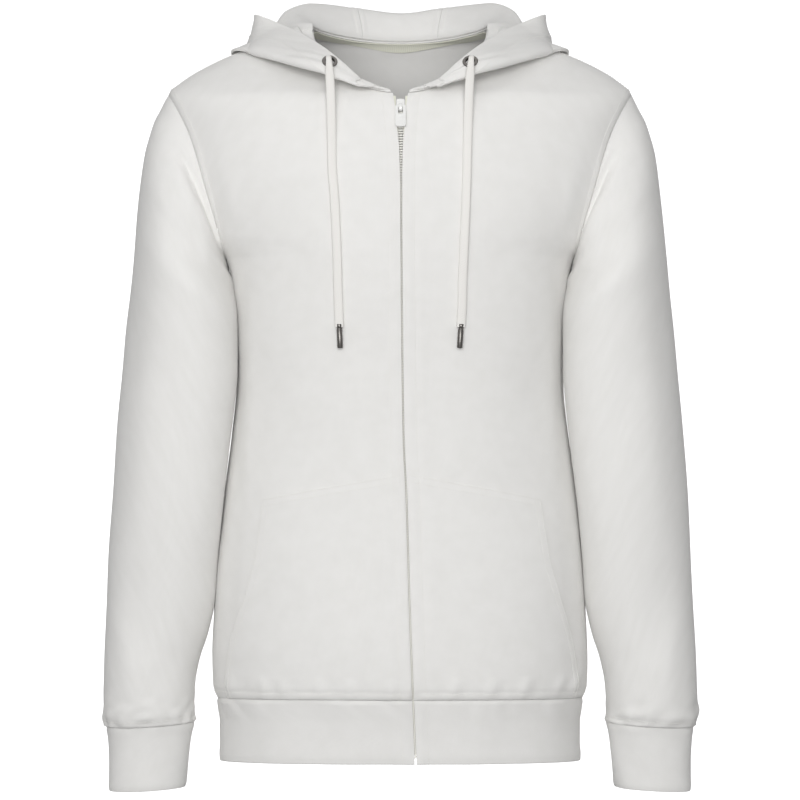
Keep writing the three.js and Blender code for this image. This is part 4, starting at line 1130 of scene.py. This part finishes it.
def eyelet_profile(inside):
    """Half an eyelet's section: the lip rolled over the face, the barrel and the washer."""
    hole, barrel, flange = EYELET["hole"], EYELET["barrel"], EYELET["flange"]
    middle, reach = (hole + flange) / 2, (flange - hole) / 2
    turns = np.radians(np.linspace(0, 180, 13))
    lip = [(middle - reach * math.cos(a), -inside - 1.25 * math.sin(a)) for a in turns]
    return lip + [
        (barrel, -inside), (barrel, inside), (flange, inside), (flange - 0.5, inside + 0.6),
        (hole + 0.4, inside + 0.7), (hole, inside + 0.3),
    ]


# Each cord's middle line, from its eyelet to its tip
CORD_ROUTES = {
    -1: [
        [-69, -92, -29.9], [-69.1, -95.2, -28.4], [-69, -98.7, -29], [-68.7, -101, -32.2],
        [-68.4, -101.7, -37.5], [-68, -101.2, -45], [-67.4, -100.6, -56], [-66.7, -101.4, -73],
        [-66, -105, -104], [-65.4, -111, -135], [-62.8, -115.8, -169], [-61.2, -118, -202],
        [-60.3, -118, -225], [-59.9, -117.4, -247], [-59.1, -116.5, -269], [-58.3, -115.7, -290],
    ],
    1: [
        [69, -92, -29.9], [69.1, -95.2, -28.4], [69, -98.7, -29], [68.7, -101, -32.2],
        [68.3, -101.7, -37.5], [67.8, -101.2, -45], [67.1, -100.6, -56], [66.4, -101.4, -73],
        [65.3, -105, -104], [64.5, -111, -135], [63.4, -115.8, -169], [61.9, -118, -202],
        [61, -118, -225], [60.1, -117.4, -247], [59.8, -116.5, -269], [58.6, -115.7, -290],
    ],
}
CORD_HALF_WIDTH = 4.3
CORD_HALF_THICKNESS = 1.9
# Half the section of a cord's metal tip, as (radius, distance down the cord) points
TIP_PROFILE = [
    (0.02, -3.2), (2.5, -3.2), (2.75, -2.9), (2.75, 0.4), (2.35, 0.9), (2.35, 1.7),
    (2.75, 2.2), (2.75, 19.2), (2.4, 19.9), (1.9, 20), (0.02, 20),
]
SIDE_NAMES = {-1: "left", 1: "right"}


def cord_line(side, count):
    route = [np.array(p, float) for p in CORD_ROUTES[side]]
    return catmull(route, np.linspace(0, len(route) - 1, count))


def cord_tube(side):
    """The flat braided cord: an oval section carried down the route, turning a little."""
    line = cord_line(side, 260)
    step = unit(np.gradient(line, axis=0))
    across = unit(np.array([1.0, 0, 0]) - step * step[:, :1])
    out = np.cross(across, step)
    down = np.concatenate([[0], np.cumsum(np.linalg.norm(np.diff(line, axis=0), axis=1))])
    twist = np.radians(10) * np.sin(down / 38 + side) * smooth(down / 60)
    twist = twist[:, None, None]
    around = np.linspace(0, 2 * math.pi, 40, endpoint=False)[None, :, None]
    power = 0.8
    cos, sin = np.cos(around), np.sin(around)
    gathered = (0.62 + 0.38 * smooth((down - 6) / 22))[:, None, None]
    flat = np.sign(cos) * np.abs(cos) ** power * CORD_HALF_WIDTH * gathered
    deep = np.sign(sin) * np.abs(sin) ** power * CORD_HALF_THICKNESS
    u = across[:, None] * np.cos(twist) + out[:, None] * np.sin(twist)
    v = out[:, None] * np.cos(twist) - across[:, None] * np.sin(twist)
    grid = line[:, None] + u * flat + v * deep
    rows, columns = grid.shape[:2]
    r, c = np.meshgrid(np.arange(rows - 1), np.arange(columns), indexing="ij")
    a, b = r * columns + c, r * columns + (c + 1) % columns
    last = (rows - 1) * columns
    faces = np.stack([a, a + columns, b + columns, b], -1).reshape(-1, 4).tolist()
    faces += [list(range(columns)), list(range(last + columns - 1, last - 1, -1))]
    uv = np.zeros((rows, columns, 2))
    uv[..., 0] = np.linspace(0, 20, columns)
    uv[..., 1] = down[:, None]
    name = "cord_" + SIDE_NAMES[side]
    mesh = mesh_from(name, grid.reshape(-1, 3), faces, uv.reshape(-1, 2), sharp=60)
    return mesh, line, down[-1]


# Repeated parts
def repeat_tree():
    """Geometry nodes that set a shape at even steps along lines, facing away from the cloth."""
    tree = bpy.data.node_groups.get("repeat along lines")
    if tree:
        return tree
    tree = bpy.data.node_groups.new("repeat along lines", "GeometryNodeTree")
    for name, kind in (
        ("Lines", "Geometry"), ("Shape", "Object"), ("Step", "Float"), ("Unevenness", "Float"),
        ("Seed", "Int"), ("Material", "Material"),
    ):
        tree.interface.new_socket(name, in_out="INPUT", socket_type="NodeSocket" + kind)
    tree.interface.new_socket("Parts", in_out="OUTPUT", socket_type="NodeSocketGeometry")
    given = tree.nodes.new("NodeGroupInput").outputs
    curve = add_node(tree, "GeometryNodeMeshToCurve", [("Mesh", given["Lines"])])
    even = add_node(
        tree, "GeometryNodeResampleCurve",
        [("Curve", curve.outputs["Curve"]), ("Length", given["Step"])], mode="LENGTH",
    )
    tangent = add_node(tree, "GeometryNodeInputTangent")
    out = add_node(tree, "GeometryNodeInputNamedAttribute", data_type="FLOAT_VECTOR", Name="out")
    along = add_node(
        tree, "FunctionNodeAlignRotationToVector", [("Vector", tangent.outputs["Tangent"])],
        axis="Y",
    )
    facing = add_node(
        tree, "FunctionNodeAlignRotationToVector",
        [("Rotation", along.outputs["Rotation"]), ("Vector", out.outputs["Attribute"])],
        axis="Z", pivot_axis="Y",
    )
    low = add_node(tree, "ShaderNodeMath", [(1, given["Unevenness"])], operation="SUBTRACT")
    low.inputs[0].default_value = 1.0
    size = add_node(
        tree, "FunctionNodeRandomValue", [("Seed", given["Seed"])], data_type="FLOAT",
    )
    tree.links.new(low.outputs[0], size.inputs[2])
    size.inputs[3].default_value = 1.0
    shape = add_node(tree, "GeometryNodeObjectInfo", [("Object", given["Shape"])])
    placed = add_node(
        tree, "GeometryNodeInstanceOnPoints",
        [("Points", even.outputs["Curve"]), ("Instance", shape.outputs["Geometry"]),
         ("Rotation", facing.outputs["Rotation"]), ("Scale", size.outputs[1])],
    )
    real = add_node(
        tree, "GeometryNodeRealizeInstances", [("Geometry", placed.outputs["Instances"])]
    )
    finish = add_node(
        tree, "GeometryNodeSetMaterial",
        [("Geometry", real.outputs["Geometry"]), ("Material", given["Material"])],
    )
    result = tree.nodes.new("NodeGroupOutput")
    tree.links.new(finish.outputs["Geometry"], result.inputs["Parts"])
    return tree


def repeated(name, lines, shape, step, material, unevenness=0.0):
    """One mesh of a shape repeated along lines of (points, outward directions)."""
    points = np.concatenate([line for line, _ in lines]) * MM
    out = np.concatenate([directions for _, directions in lines])
    edges, start = [], 0
    for line, _ in lines:
        edges += [(start + k, start + k + 1) for k in range(len(line) - 1)]
        start += len(line)
    mesh = bpy.data.meshes.new(name)
    mesh.from_pydata(points.tolist(), edges, [])
    attribute = mesh.attributes.new("out", "FLOAT_VECTOR", "POINT")
    attribute.data.foreach_set("vector", out.astype(np.float32).ravel())
    obj = mesh_object(name, mesh)
    tree = repeat_tree()
    repeat = obj.modifiers.new("repeat", "NODES")
    repeat.node_group = tree
    values = {"Shape": shape, "Step": step, "Unevenness": unevenness,
              "Seed": bpy.context.scene.hoodie.seed, "Material": material}
    for item in tree.interface.items_tree:
        if item.in_out == "INPUT" and item.name in values:
            repeat[item.identifier] = values[item.name]
    bake(obj)
    shade_smooth(obj.data)
    return obj


def stitch_shape(length):
    """One stitch: a thread that dips into the cloth at both ends."""
    rings = [
        (-0.5, -0.25, 0.1), (-0.36, 0.05, 0.24), (0, 0.12, 0.27), (0.36, 0.05, 0.24),
        (0.5, -0.25, 0.1),
    ]
    points, faces = [], []
    sides = 5
    for y, z, radius in rings:
        for k in range(sides):
            a = 2 * math.pi * k / sides
            points.append((radius * math.cos(a), y * length * 0.86, z + radius * math.sin(a)))
    for r in range(len(rings) - 1):
        for k in range(sides):
            a, b = r * sides + k, r * sides + (k + 1) % sides
            faces.append((a, a + sides, b + sides, b))
    faces.append(tuple(range(sides)))
    faces.append(tuple(len(points) - 1 - k for k in range(sides)))
    return solid_object("stitch", points, faces)


def seam_line(cloth, distance, value, upright, keep=slice(None), offset=0.0):
    """A line of stitches on a cloth where a distance has a value."""
    rows, columns = (np.arange(count, dtype=float) for count in cloth.grid.shape[:2])
    if upright:
        rows = rows[keep]
        columns = np.array([np.interp(value, *ordered(distance[int(r)])) for r in rows])
    else:
        columns = columns[keep]
        rows = np.array([np.interp(value, *ordered(distance[:, int(c)])) for c in columns])
    if cloth.closed:
        rows, columns = np.append(rows, rows[0]), np.append(columns, columns[0])
    out = cloth.normals[np.round(rows).astype(int), np.round(columns).astype(int)]
    return cloth.at(rows, columns, offset), out


def ordered(distances):
    """Distances in rising order, each with its place."""
    order = np.argsort(distances, kind="stable")
    return distances[order], order.astype(float)


# Texture scales for maps in metres. A wave's bands are 2 pi / (20 scale) apart, or on the diagonal
# 2 pi / (10 scale) along each axis; a noise's grains are 1 / scale across.
WALE_SCALE = 280.0  # 1.12 mm
FUZZ_SCALE = 900.0  # 1.1 mm
MOTTLE_SCALE = 60.0  # 17 mm
TWILL_SCALE = 330.0  # 1.9 mm
BRAID_SCALE = 260.0  # 2.4 mm
GLOSS_SCALE = 260.0  # 3.8 mm


# Materials
def linear(hex_colour):
    """An sRGB colour, such as 0xE9E8E2, as linear RGBA."""
    channels = []
    for shift in (16, 8, 0):
        c = (hex_colour >> shift & 255) / 255
        channels.append(c / 12.92 if c <= 0.04045 else ((c + 0.055) / 1.055) ** 2.4)
    return (*channels, 1.0)


def add_node(tree, kind, links=(), **values):
    """Adds a node, sets its inputs or properties by name, and links (input, output) pairs."""
    node = tree.nodes.new(kind)
    for key, value in values.items():
        if key in node.inputs:
            node.inputs[key].default_value = value
        else:
            setattr(node, key, value)
    for name, source in links:
        tree.links.new(source, node.inputs[name])
    return node


def new_material(name):
    """A material with an empty node tree, its surface node and that node's tree."""
    material = bpy.data.materials.get(name)
    if material:
        return material, None, None
    material = bpy.data.materials.new(name)
    material.use_nodes = True
    tree = material.node_tree
    tree.nodes.clear()
    surface = tree.nodes.new("ShaderNodeBsdfPrincipled")
    output = tree.nodes.new("ShaderNodeOutputMaterial")
    tree.links.new(surface.outputs["BSDF"], output.inputs["Surface"])
    return material, tree, surface


def set_inputs(node, **values):
    for key, value in values.items():
        node.inputs[key.replace("_", " ")].default_value = value


def jersey_material():
    """Brushed cotton jersey: fine upright wales and a soft matt face with a little fuzz."""
    material, tree, surface = new_material("cotton sweat jersey")
    if tree is None:
        return material
    set_inputs(
        surface, Roughness=0.92, Sheen_Weight=0.25, Sheen_Roughness=0.5, Specular_IOR_Level=0.2
    )
    uv = add_node(tree, "ShaderNodeUVMap", uv_map="ClothMap")
    map_links = [("Vector", uv.outputs["UV"])]
    wales = add_node(
        tree, "ShaderNodeTexWave", map_links,
        wave_type="BANDS", bands_direction="X", Scale=WALE_SCALE, Distortion=1.2, Detail=2.0,
    )
    fuzz = add_node(tree, "ShaderNodeTexNoise", map_links, Scale=FUZZ_SCALE, Detail=3.0)
    mottle = add_node(tree, "ShaderNodeTexNoise", map_links, Scale=MOTTLE_SCALE, Detail=4.0)
    relief = add_node(
        tree, "ShaderNodeMath", [(0, wales.outputs["Fac"]), (1, fuzz.outputs["Fac"])],
        operation="ADD",
    )
    tint_surface(tree, surface, mottle.outputs["Fac"], (0xE9E8E5, 0xF1F0EE))
    raise_surface(tree, surface, relief.outputs[0], 0.35, 0.00025)
    return material


def tint_surface(tree, surface, factor, colours):
    """Colours a surface between two colours by a pattern."""
    tint = add_node(tree, "ShaderNodeMix", [("Factor", factor)], data_type="RGBA")
    tint.inputs[6].default_value, tint.inputs[7].default_value = map(linear, colours)
    tree.links.new(tint.outputs[2], surface.inputs["Base Color"])


def raise_surface(tree, surface, height, strength, depth):
    """Bumps a surface by a pattern, with a depth in metres."""
    bump = add_node(
        tree, "ShaderNodeBump", [("Height", height)], Strength=strength, Distance=depth
    )
    tree.links.new(bump.outputs["Normal"], surface.inputs["Normal"])


def woven_material(name, colours, roughness, scale, strength, depth):
    """Cloth or cord with a slanted weave, drawn in the piece's own map."""
    material, tree, surface = new_material(name)
    if tree is None:
        return material
    set_inputs(surface, Roughness=roughness, Sheen_Weight=0.15, Specular_IOR_Level=0.25)
    uv = add_node(tree, "ShaderNodeUVMap", uv_map="ClothMap")
    weave = add_node(
        tree, "ShaderNodeTexWave", [("Vector", uv.outputs["UV"])],
        wave_type="BANDS", bands_direction="DIAGONAL", Scale=scale, Distortion=0.4,
    )
    tint_surface(tree, surface, weave.outputs["Fac"], colours)
    raise_surface(tree, surface, weave.outputs["Fac"], strength, depth)
    return material


def twill_material():
    """Cotton twill tape: a tight slanted weave, a little creamier than the jersey."""
    colours = (0xE6E6D6, 0xEFEFE2)
    return woven_material("cotton twill tape", colours, 0.85, TWILL_SCALE, 0.4, 0.0002)


def braid_material():
    """Flat braided cotton cord: coarser slanted ribs in the jersey's own white."""
    colours = (0xECEAE6, 0xF0EEEA)
    return woven_material("braided cotton cord", colours, 0.88, BRAID_SCALE, 0.35, 0.00025)


def plain_material(name, colour, roughness, metallic, coat=0.0):
    """An even finish with faint unevenness in its gloss."""
    material, tree, surface = new_material(name)
    if tree is None:
        return material
    set_inputs(surface, Base_Color=linear(colour), Metallic=metallic, Coat_Weight=coat)
    place = add_node(tree, "ShaderNodeTexCoord")
    wear = add_node(
        tree, "ShaderNodeTexNoise", [("Vector", place.outputs["Object"])], Scale=GLOSS_SCALE
    )
    gloss = add_node(
        tree, "ShaderNodeMapRange", [("Value", wear.outputs["Fac"])],
        **{"To Min": roughness - 0.06, "To Max": roughness + 0.06},
    )
    tree.links.new(gloss.outputs["Result"], surface.inputs["Roughness"])
    return material


def thread_material():
    """Polyester sewing thread in the jersey's own white, with a slight lustre."""
    return plain_material("polyester thread", 0xECEBE7, 0.5, 0.0)


def acetal_material():
    """Moulded acetal teeth: plain white with a low, waxy shine."""
    return plain_material("acetal", 0xF1F0E9, 0.42, 0.0)


def enamel_material():
    """White enamel on the slider and its pull: smooth, with a clear bright highlight."""
    return plain_material("white enamel", 0xEFEFED, 0.28, 0.0, 0.5)


def gunmetal_material():
    """Gunmetal plating on the eyelets and cord tips: a mid grey metal with a soft shine."""
    return plain_material("gunmetal plating", 0x7A7774, 0.34, 1.0)


# The add-on's settings
class HoodieSettings(bpy.types.PropertyGroup):
    """Sizes that the pieces of trim share."""

    tooth_pitch: bpy.props.FloatProperty(
        name="Tooth pitch", description="Distance between zip teeth on one tape",
        default=TOOTH_PITCH * MM, min=0.001, max=0.006, subtype="DISTANCE", unit="LENGTH",
    )
    stitch_length: bpy.props.FloatProperty(
        name="Stitch length", description="Length of one topstitch with its gap",
        default=0.0031, min=0.0015, max=0.006, subtype="DISTANCE", unit="LENGTH",
    )
    seed: bpy.props.IntProperty(
        name="Seed", description="Fixes how repeated parts differ a little", default=7, min=0
    )


class HOODIE_OT_torso(bpy.types.Operator):
    """Make the front panels, the back and the waistband"""

    bl_idname = "hoodie.torso"
    bl_label = "Torso"

    def execute(self, context):
        for side, name in SIDE_NAMES.items():
            cloth_piece("front_" + name, front_cloth(side), 0, PANEL_WALL)
        cloth_piece("back", back_cloth(), 0, PANEL_WALL)
        cloth_piece("waistband", waistband_cloth(), 0, BAND_WALL)
        return {"FINISHED"}


class HOODIE_OT_pockets(bpy.types.Operator):
    """Make the two halves of the kangaroo pocket"""

    bl_idname = "hoodie.pockets"
    bl_label = "Pockets"

    def execute(self, context):
        for side, name in SIDE_NAMES.items():
            cloth_piece(
                "pocket_" + name, pocket_cloth(side), POCKET_LIFT + POCKET_WALL, -POCKET_LIFT,
            )
        return {"FINISHED"}


class HOODIE_OT_sleeves(bpy.types.Operator):
    """Make the sleeves and their cuffs"""

    bl_idname = "hoodie.sleeves"
    bl_label = "Sleeves"

    def execute(self, context):
        for side, name in SIDE_NAMES.items():
            cloth_piece("sleeve_" + name, sleeve_cloth(side), 0, PANEL_WALL)
            cloth_piece("cuff_" + name, cuff_cloth(side), 0, BAND_WALL)
        return {"FINISHED"}


class HOODIE_OT_hood(bpy.types.Operator):
    """Make the three panels of the hood, the neck tape and the eyelets"""

    bl_idname = "hoodie.hood"
    bl_label = "Hood"

    def execute(self, context):
        half = HOOD_WALL / 2
        cloth_piece("hood_centre", hood_centre_cloth(), half, half)
        for side, name in SIDE_NAMES.items():
            place = eyelet_place(side)
            profile = eyelet_profile(half + 0.1)
            ring = lathe_object("eyelet_" + name + "_metal", profile, place, 64)
            dress(ring, gunmetal_material(), replaces=["eyelet_" + name])
            cutter = solid_object("hole", *prism(EYELET["barrel"] + 0.1, -6, 6), place)
            panel = hood_side_cloth(side)
            cloth_piece("hood_" + name, panel, half, half, cutter=cutter)
        cloth_piece(
            "neck_tape", neck_tape_cloth(), -PANEL_WALL - 0.6, PANEL_WALL + 1.4,
            twill_material(),
        )
        return {"FINISHED"}


class HOODIE_OT_cords(bpy.types.Operator):
    """Make the two ends of the drawcord with their metal tips"""

    bl_idname = "hoodie.cords"
    bl_label = "Cords"

    def execute(self, context):
        for side, name in SIDE_NAMES.items():
            mesh, line, length = cord_tube(side)
            cord = mesh_object("cord_" + name + "_braid", mesh)
            dress(cord, braid_material(), replaces=["cord_" + name])
            direction = Vector(unit(line[-1] - line[-4]))
            turn = Vector((0, 1, 0)).rotation_difference(direction).to_matrix().to_4x4()
            end = Vector(line[-1]) + direction * 0.1
            place = Matrix.Translation(end * MM) @ turn
            tip = lathe_object("tip_" + name + "_metal", TIP_PROFILE, place)
            dress(tip, gunmetal_material(), replaces=["tip_" + name])
        return {"FINISHED"}


# How far a stitch line lies over the cloth, and from its edge or seam, in millimetres
STITCH_OVER = 0.05
ZIP_STITCH = 11.5
SEAM_STITCH = 7.6
SHOULDER_STITCH = 6.5
CUFF_STITCH = 6.6
HOOD_STITCH = 4.5
MOUTH_STITCH = 24


class HOODIE_OT_stitching(bpy.types.Operator):
    """Lay the topstitching on the sewn pieces, which must be there first"""

    bl_idname = "hoodie.stitching"
    bl_label = "Stitching"

    def execute(self, context):
        if not CLOTHS:
            self.report({"ERROR"}, "make the cloth pieces first")
            return {"CANCELLED"}
        step = context.scene.hoodie.stitch_length
        shape = stitch_shape(step / MM)
        armhole_rows = slice(LOWER_ROWS + 6, -1)
        groups = {"body": [], "sleeves": [], "hood": []}
        for side, name in SIDE_NAMES.items():
            front = CLOTHS["front_" + name]
            centre, armhole, low, high = edge_distances(front.grid)
            above_pocket = slice(POCKET_ROW * FINE + 2, -2)
            beside_pocket = slice(POCKET_COLUMN * FINE + 2, -1)
            shoulder = slice(FRONT_NECK_COLUMN * FINE, -2)
            groups["body"] += [
                seam_line(front, centre, ZIP_STITCH, True, above_pocket, STITCH_OVER),
                seam_line(front, armhole, SEAM_STITCH, True, armhole_rows, STITCH_OVER),
                seam_line(front, low, SEAM_STITCH, False, beside_pocket, STITCH_OVER),
                seam_line(front, high, SHOULDER_STITCH, False, shoulder, STITCH_OVER),
            ]
            pocket = CLOTHS["pocket_" + name]
            centre, opening, low, high = edge_distances(pocket.grid)
            top = POCKET_LIFT + POCKET_WALL + STITCH_OVER
            groups["body"] += [
                seam_line(pocket, centre, 10.3, True, slice(1, -1), top),
                seam_line(pocket, opening, 2.0, True, slice(1, -1), top),
                seam_line(pocket, opening, 8.5, True, slice(1, -1), top),
                seam_line(pocket, high, 1.8, False, slice(2, -1), top),
                seam_line(pocket, high, 8, False, slice(2, -1), top),
                seam_line(pocket, low, SEAM_STITCH, False, slice(3, -1), top),
            ]
            sleeve = CLOTHS["sleeve_" + name]
            up = edge_distances(sleeve.grid)[3]
            groups["sleeves"].append(
                seam_line(sleeve, up, CUFF_STITCH, False, offset=STITCH_OVER)
            )
            hood = CLOTHS["hood_" + name]
            first, last, low, high = edge_distances(hood.grid)
            for face in (1, -1):
                groups["hood"] += [
                    stitched(hood, high, MOUTH_STITCH, False, slice(2, -8), face),
                    stitched(hood, first, HOOD_STITCH, True, slice(4, -3), face),
                ]
        back = CLOTHS["back"]
        left, right, low, high = edge_distances(back.grid)
        groups["body"] += [
            seam_line(back, left, SEAM_STITCH, True, armhole_rows, STITCH_OVER),
            seam_line(back, right, SEAM_STITCH, True, armhole_rows, STITCH_OVER),
            seam_line(back, low, SEAM_STITCH, False, slice(2, -2), STITCH_OVER),
            seam_line(back, high, SHOULDER_STITCH, False, slice(2, -2), STITCH_OVER),
        ]
        band = CLOTHS["waistband"]
        left, right, low, high = edge_distances(band.grid)
        groups["body"] += [
            seam_line(band, left, ZIP_STITCH, True, slice(2, -1), STITCH_OVER),
            seam_line(band, right, ZIP_STITCH, True, slice(2, -1), STITCH_OVER),
        ]
        centre_panel = CLOTHS["hood_centre"]
        first, last, low, high = edge_distances(centre_panel.grid)
        for face in (1, -1):
            groups["hood"].append(
                stitched(centre_panel, high, MOUTH_STITCH, False, slice(1, -1), face)
            )
        for name, lines in groups.items():
            thread = repeated(name + "_stitching", lines, shape, step, thread_material(), 0.12)
            dress(thread, thread_material())
        bpy.data.objects.remove(shape)
        return {"FINISHED"}


def stitched(cloth, distance, value, upright, keep, face):
    """A line of stitches on the outer (1) or the inner (-1) face of the hood."""
    offset = face * (HOOD_WALL / 2 + STITCH_OVER)
    points, out = seam_line(cloth, distance, value, upright, keep, offset)
    return points, out * face


class HOODIE_OT_zip(bpy.types.Operator):
    """Make the zip: its tapes, its teeth, the slider and the pull tab"""

    bl_idname = "hoodie.zip"
    bl_label = "Zip"

    def execute(self, context):
        pitch = context.scene.hoodie.tooth_pitch
        for side, name in SIDE_NAMES.items():
            cloth_piece(
                "zip_tape_" + name, zip_tape_cloth(side), -ZIP_DEPTH, ZIP_DEPTH + TAPE_WALL,
                material=twill_material(),
            )
        halves = []
        for side in (-1, 1):
            start = ZIP_BOTTOM_Z + 1 + (pitch / MM / 2 if side > 0 else 0)
            z = np.linspace(start, CHAIN_TOP_Z, 240)
            line = tilt(on_form(ZIP["line"](z) + side * 2.5, z, "front"))
            line[:, 1] += ZIP_DEPTH + 0.5
            out = np.tile([0.0, -1.0, 0.0], (len(z), 1))
            tooth = solid_object("tooth", *tooth_shape(-side), bevel=0.12, segments=1)
            halves.append(repeated("teeth", [(line, out)], tooth, pitch, acetal_material()))
            bpy.data.objects.remove(tooth)
        teeth = join(halves, "zip_teeth")
        dress(teeth, acetal_material(), replaces=["zip_chain"])
        place = slider_place()
        body = solid_object(
            "zip_slider_metal", *rounded_plate(4.2, -2.6, 9.6, -0.3, 4.8, 2, 1), place, bevel=0.7
        )
        bail = solid_object("bail", *arch(HINGE_OUT, 1.6, 2.7, 1.5, 0.3), place, bevel=0.3)
        body = join([body, bail], "zip_slider_metal")
        dress(body, enamel_material(), replaces=["zip_slider"])
        tab = pull_object(place)
        dress(tab, enamel_material(), body=PULL_TAB, replaces=["zip_pull"])
        return {"FINISHED"}


def tooth_shape(side):
    """A tooth on its tape's edge: a foot round the edge and a head that locks at the centre."""
    outline = [(-0.4, -0.75), (1.3, -0.5), (1.9, -0.8), (3.0, -0.55), (3.0, 0.55), (1.9, 0.8),
               (1.3, 0.5), (-0.4, 0.75)]
    n = len(outline)
    points = [(side * x, y, z) for z in (-0.75, 0.75) for x, y in outline]
    faces = [tuple(range(n - 1, -1, -1)), tuple(range(n, 2 * n))]
    faces += [(k, (k + 1) % n, (k + 1) % n + n, k + n) for k in range(n)]
    return points, [f if side > 0 else f[::-1] for f in faces]


def arch(out, hole, rim, half_width, foot, steps=16):
    """The bail: a hoop in Y and Z, its lower half stretched and its feet inside the slider."""
    points, faces = [], []
    turns = [-90, *(-90 + 180 * k / steps for k in range(steps + 1)), 90]
    n = len(turns)
    for k, turn in enumerate(turns):
        a = math.radians(turn)
        stretch = BAIL_STRETCH if a < 0 else 1.0
        for x in (-half_width, half_width):
            for radius in (hole, rim):
                y = foot if k in (0, n - 1) else -(out + radius * math.cos(a))
                points.append((x, y, stretch * radius * math.sin(a)))
    for k in range(n - 1):
        b, t = 4 * k, 4 * (k + 1)
        for i, j in ((0, 1), (1, 3), (3, 2), (2, 0)):
            faces.append((b + i, b + j, t + j, t + i))
    faces.append((0, 2, 3, 1))
    last = 4 * (n - 1)
    faces.append((last, last + 1, last + 3, last + 2))
    return points, faces


def pull_object(place):
    """The pull tab: a rounded plate whose window leaves a bar for the bail to hold."""
    tab = solid_object("zip_pull_metal", *rounded_plate(5.2, -22.5, 0.9, -0.7, 0.7, 0.6, 3))
    cut_out(tab, solid_object("window", *rounded_plate(2.3, -8.4, -0.9, -3, 3, 0.7)))
    round_off(tab, 0.3)
    tab.data.transform(place @ Matrix.Translation((0, -HINGE_OUT * MM, 0)))
    shade_smooth(tab.data, METAL_SHARP)
    return tab


# Area lights: name, place, target, size in metres and power in watts
LIGHTS = (
    ("front", (-0.15, -3.6, 0.25), (0, 0, -0.36), (2.2, 2.2), 83),
    ("key", (-1.7, -2.4, 0.9), (0, 0, -0.35), (1.0, 1.0), 5),
    ("rear", (0.3, 3.6, 0.3), (0, 0, -0.36), (2.2, 2.2), 80),
    ("top", (0.0, -0.7, 1.8), (0, 0, -0.2), (1.6, 1.0), 5),
)
WORLD_STRENGTH = 0.295
CAMERA_PLACE = (0, -3.0, -0.36)
BACKDROP_RADIUS = 9


def area_light(name, place, target, size, power):
    data = bpy.data.lights.new(name, "AREA")
    data.shape = "RECTANGLE"
    data.size, data.size_y = size
    data.energy = power
    obj = bpy.data.objects.new(name, data)
    obj.location = place
    obj.rotation_euler = (Vector(target) - Vector(place)).to_track_quat("-Z", "Y").to_euler()
    bpy.context.scene.collection.objects.link(obj)


class HOODIE_OT_stage(bpy.types.Operator):
    """Set the camera, the lights and the white backdrop"""

    bl_idname = "hoodie.stage"
    bl_label = "Stage"

    def execute(self, context):
        scene = context.scene
        scene.view_settings.view_transform = "Standard"
        data = bpy.data.cameras.new("camera")
        data.lens = 135
        data.sensor_width = 36
        data.clip_start = 0.1
        data.clip_end = 30
        camera = bpy.data.objects.new("camera", data)
        camera.location = CAMERA_PLACE
        camera.rotation_euler = (math.radians(90), 0, 0)
        scene.collection.objects.link(camera)
        scene.camera = camera
        world = bpy.data.worlds.new("studio")
        world.use_nodes = True
        background = world.node_tree.nodes["Background"]
        background.inputs["Color"].default_value = linear(0xFFFFFF)
        background.inputs["Strength"].default_value = WORLD_STRENGTH
        scene.world = world
        for light in LIGHTS:
            area_light(*light)
        dome = bpy.data.meshes.new("backdrop")
        ball = bmesh.new()
        bmesh.ops.create_icosphere(ball, subdivisions=4, radius=BACKDROP_RADIUS)
        ball.to_mesh(dome)
        ball.free()
        material, tree, surface = new_material("white backdrop paper")
        white = linear(0xFFFFFF)
        set_inputs(
            surface, Base_Color=white, Roughness=1.0, Emission_Color=white, Emission_Strength=1.0
        )
        dome.materials.append(material)
        backdrop = mesh_object("backdrop", dome)
        backdrop.visible_diffuse = False
        backdrop.visible_glossy = False
        backdrop.visible_shadow = False
        return {"FINISHED"}


class HOODIE_PT_panel(bpy.types.Panel):
    """Lists the pieces that can be made"""

    bl_idname = "HOODIE_PT_panel"
    bl_label = "Zip Up Hoodie"
    bl_space_type = "VIEW_3D"
    bl_region_type = "UI"
    bl_category = "Hoodie"

    def draw(self, context):
        layout = self.layout
        for name in ("tooth_pitch", "stitch_length", "seed"):
            layout.prop(context.scene.hoodie, name)
        for operator in PIECES:
            layout.operator(operator.bl_idname)


PIECES = (
    HOODIE_OT_stage, HOODIE_OT_cords, HOODIE_OT_torso, HOODIE_OT_pockets, HOODIE_OT_sleeves,
    HOODIE_OT_hood, HOODIE_OT_zip, HOODIE_OT_stitching,
)
CLASSES = (HoodieSettings, *PIECES, HOODIE_PT_panel)


def register():
    for cls in CLASSES:
        bpy.utils.register_class(cls)
    bpy.types.Scene.hoodie = bpy.props.PointerProperty(type=HoodieSettings)


def unregister():
    del bpy.types.Scene.hoodie
    for cls in reversed(CLASSES):
        bpy.utils.unregister_class(cls)


def main():
    register()
    bpy.ops.hoodie.stage()
    bpy.ops.hoodie.cords()
    bpy.ops.hoodie.torso()
    bpy.ops.hoodie.pockets()
    bpy.ops.hoodie.sleeves()
    bpy.ops.hoodie.hood()
    bpy.ops.hoodie.zip()
    bpy.ops.hoodie.stitching()


if __name__ == "__main__":
    main()
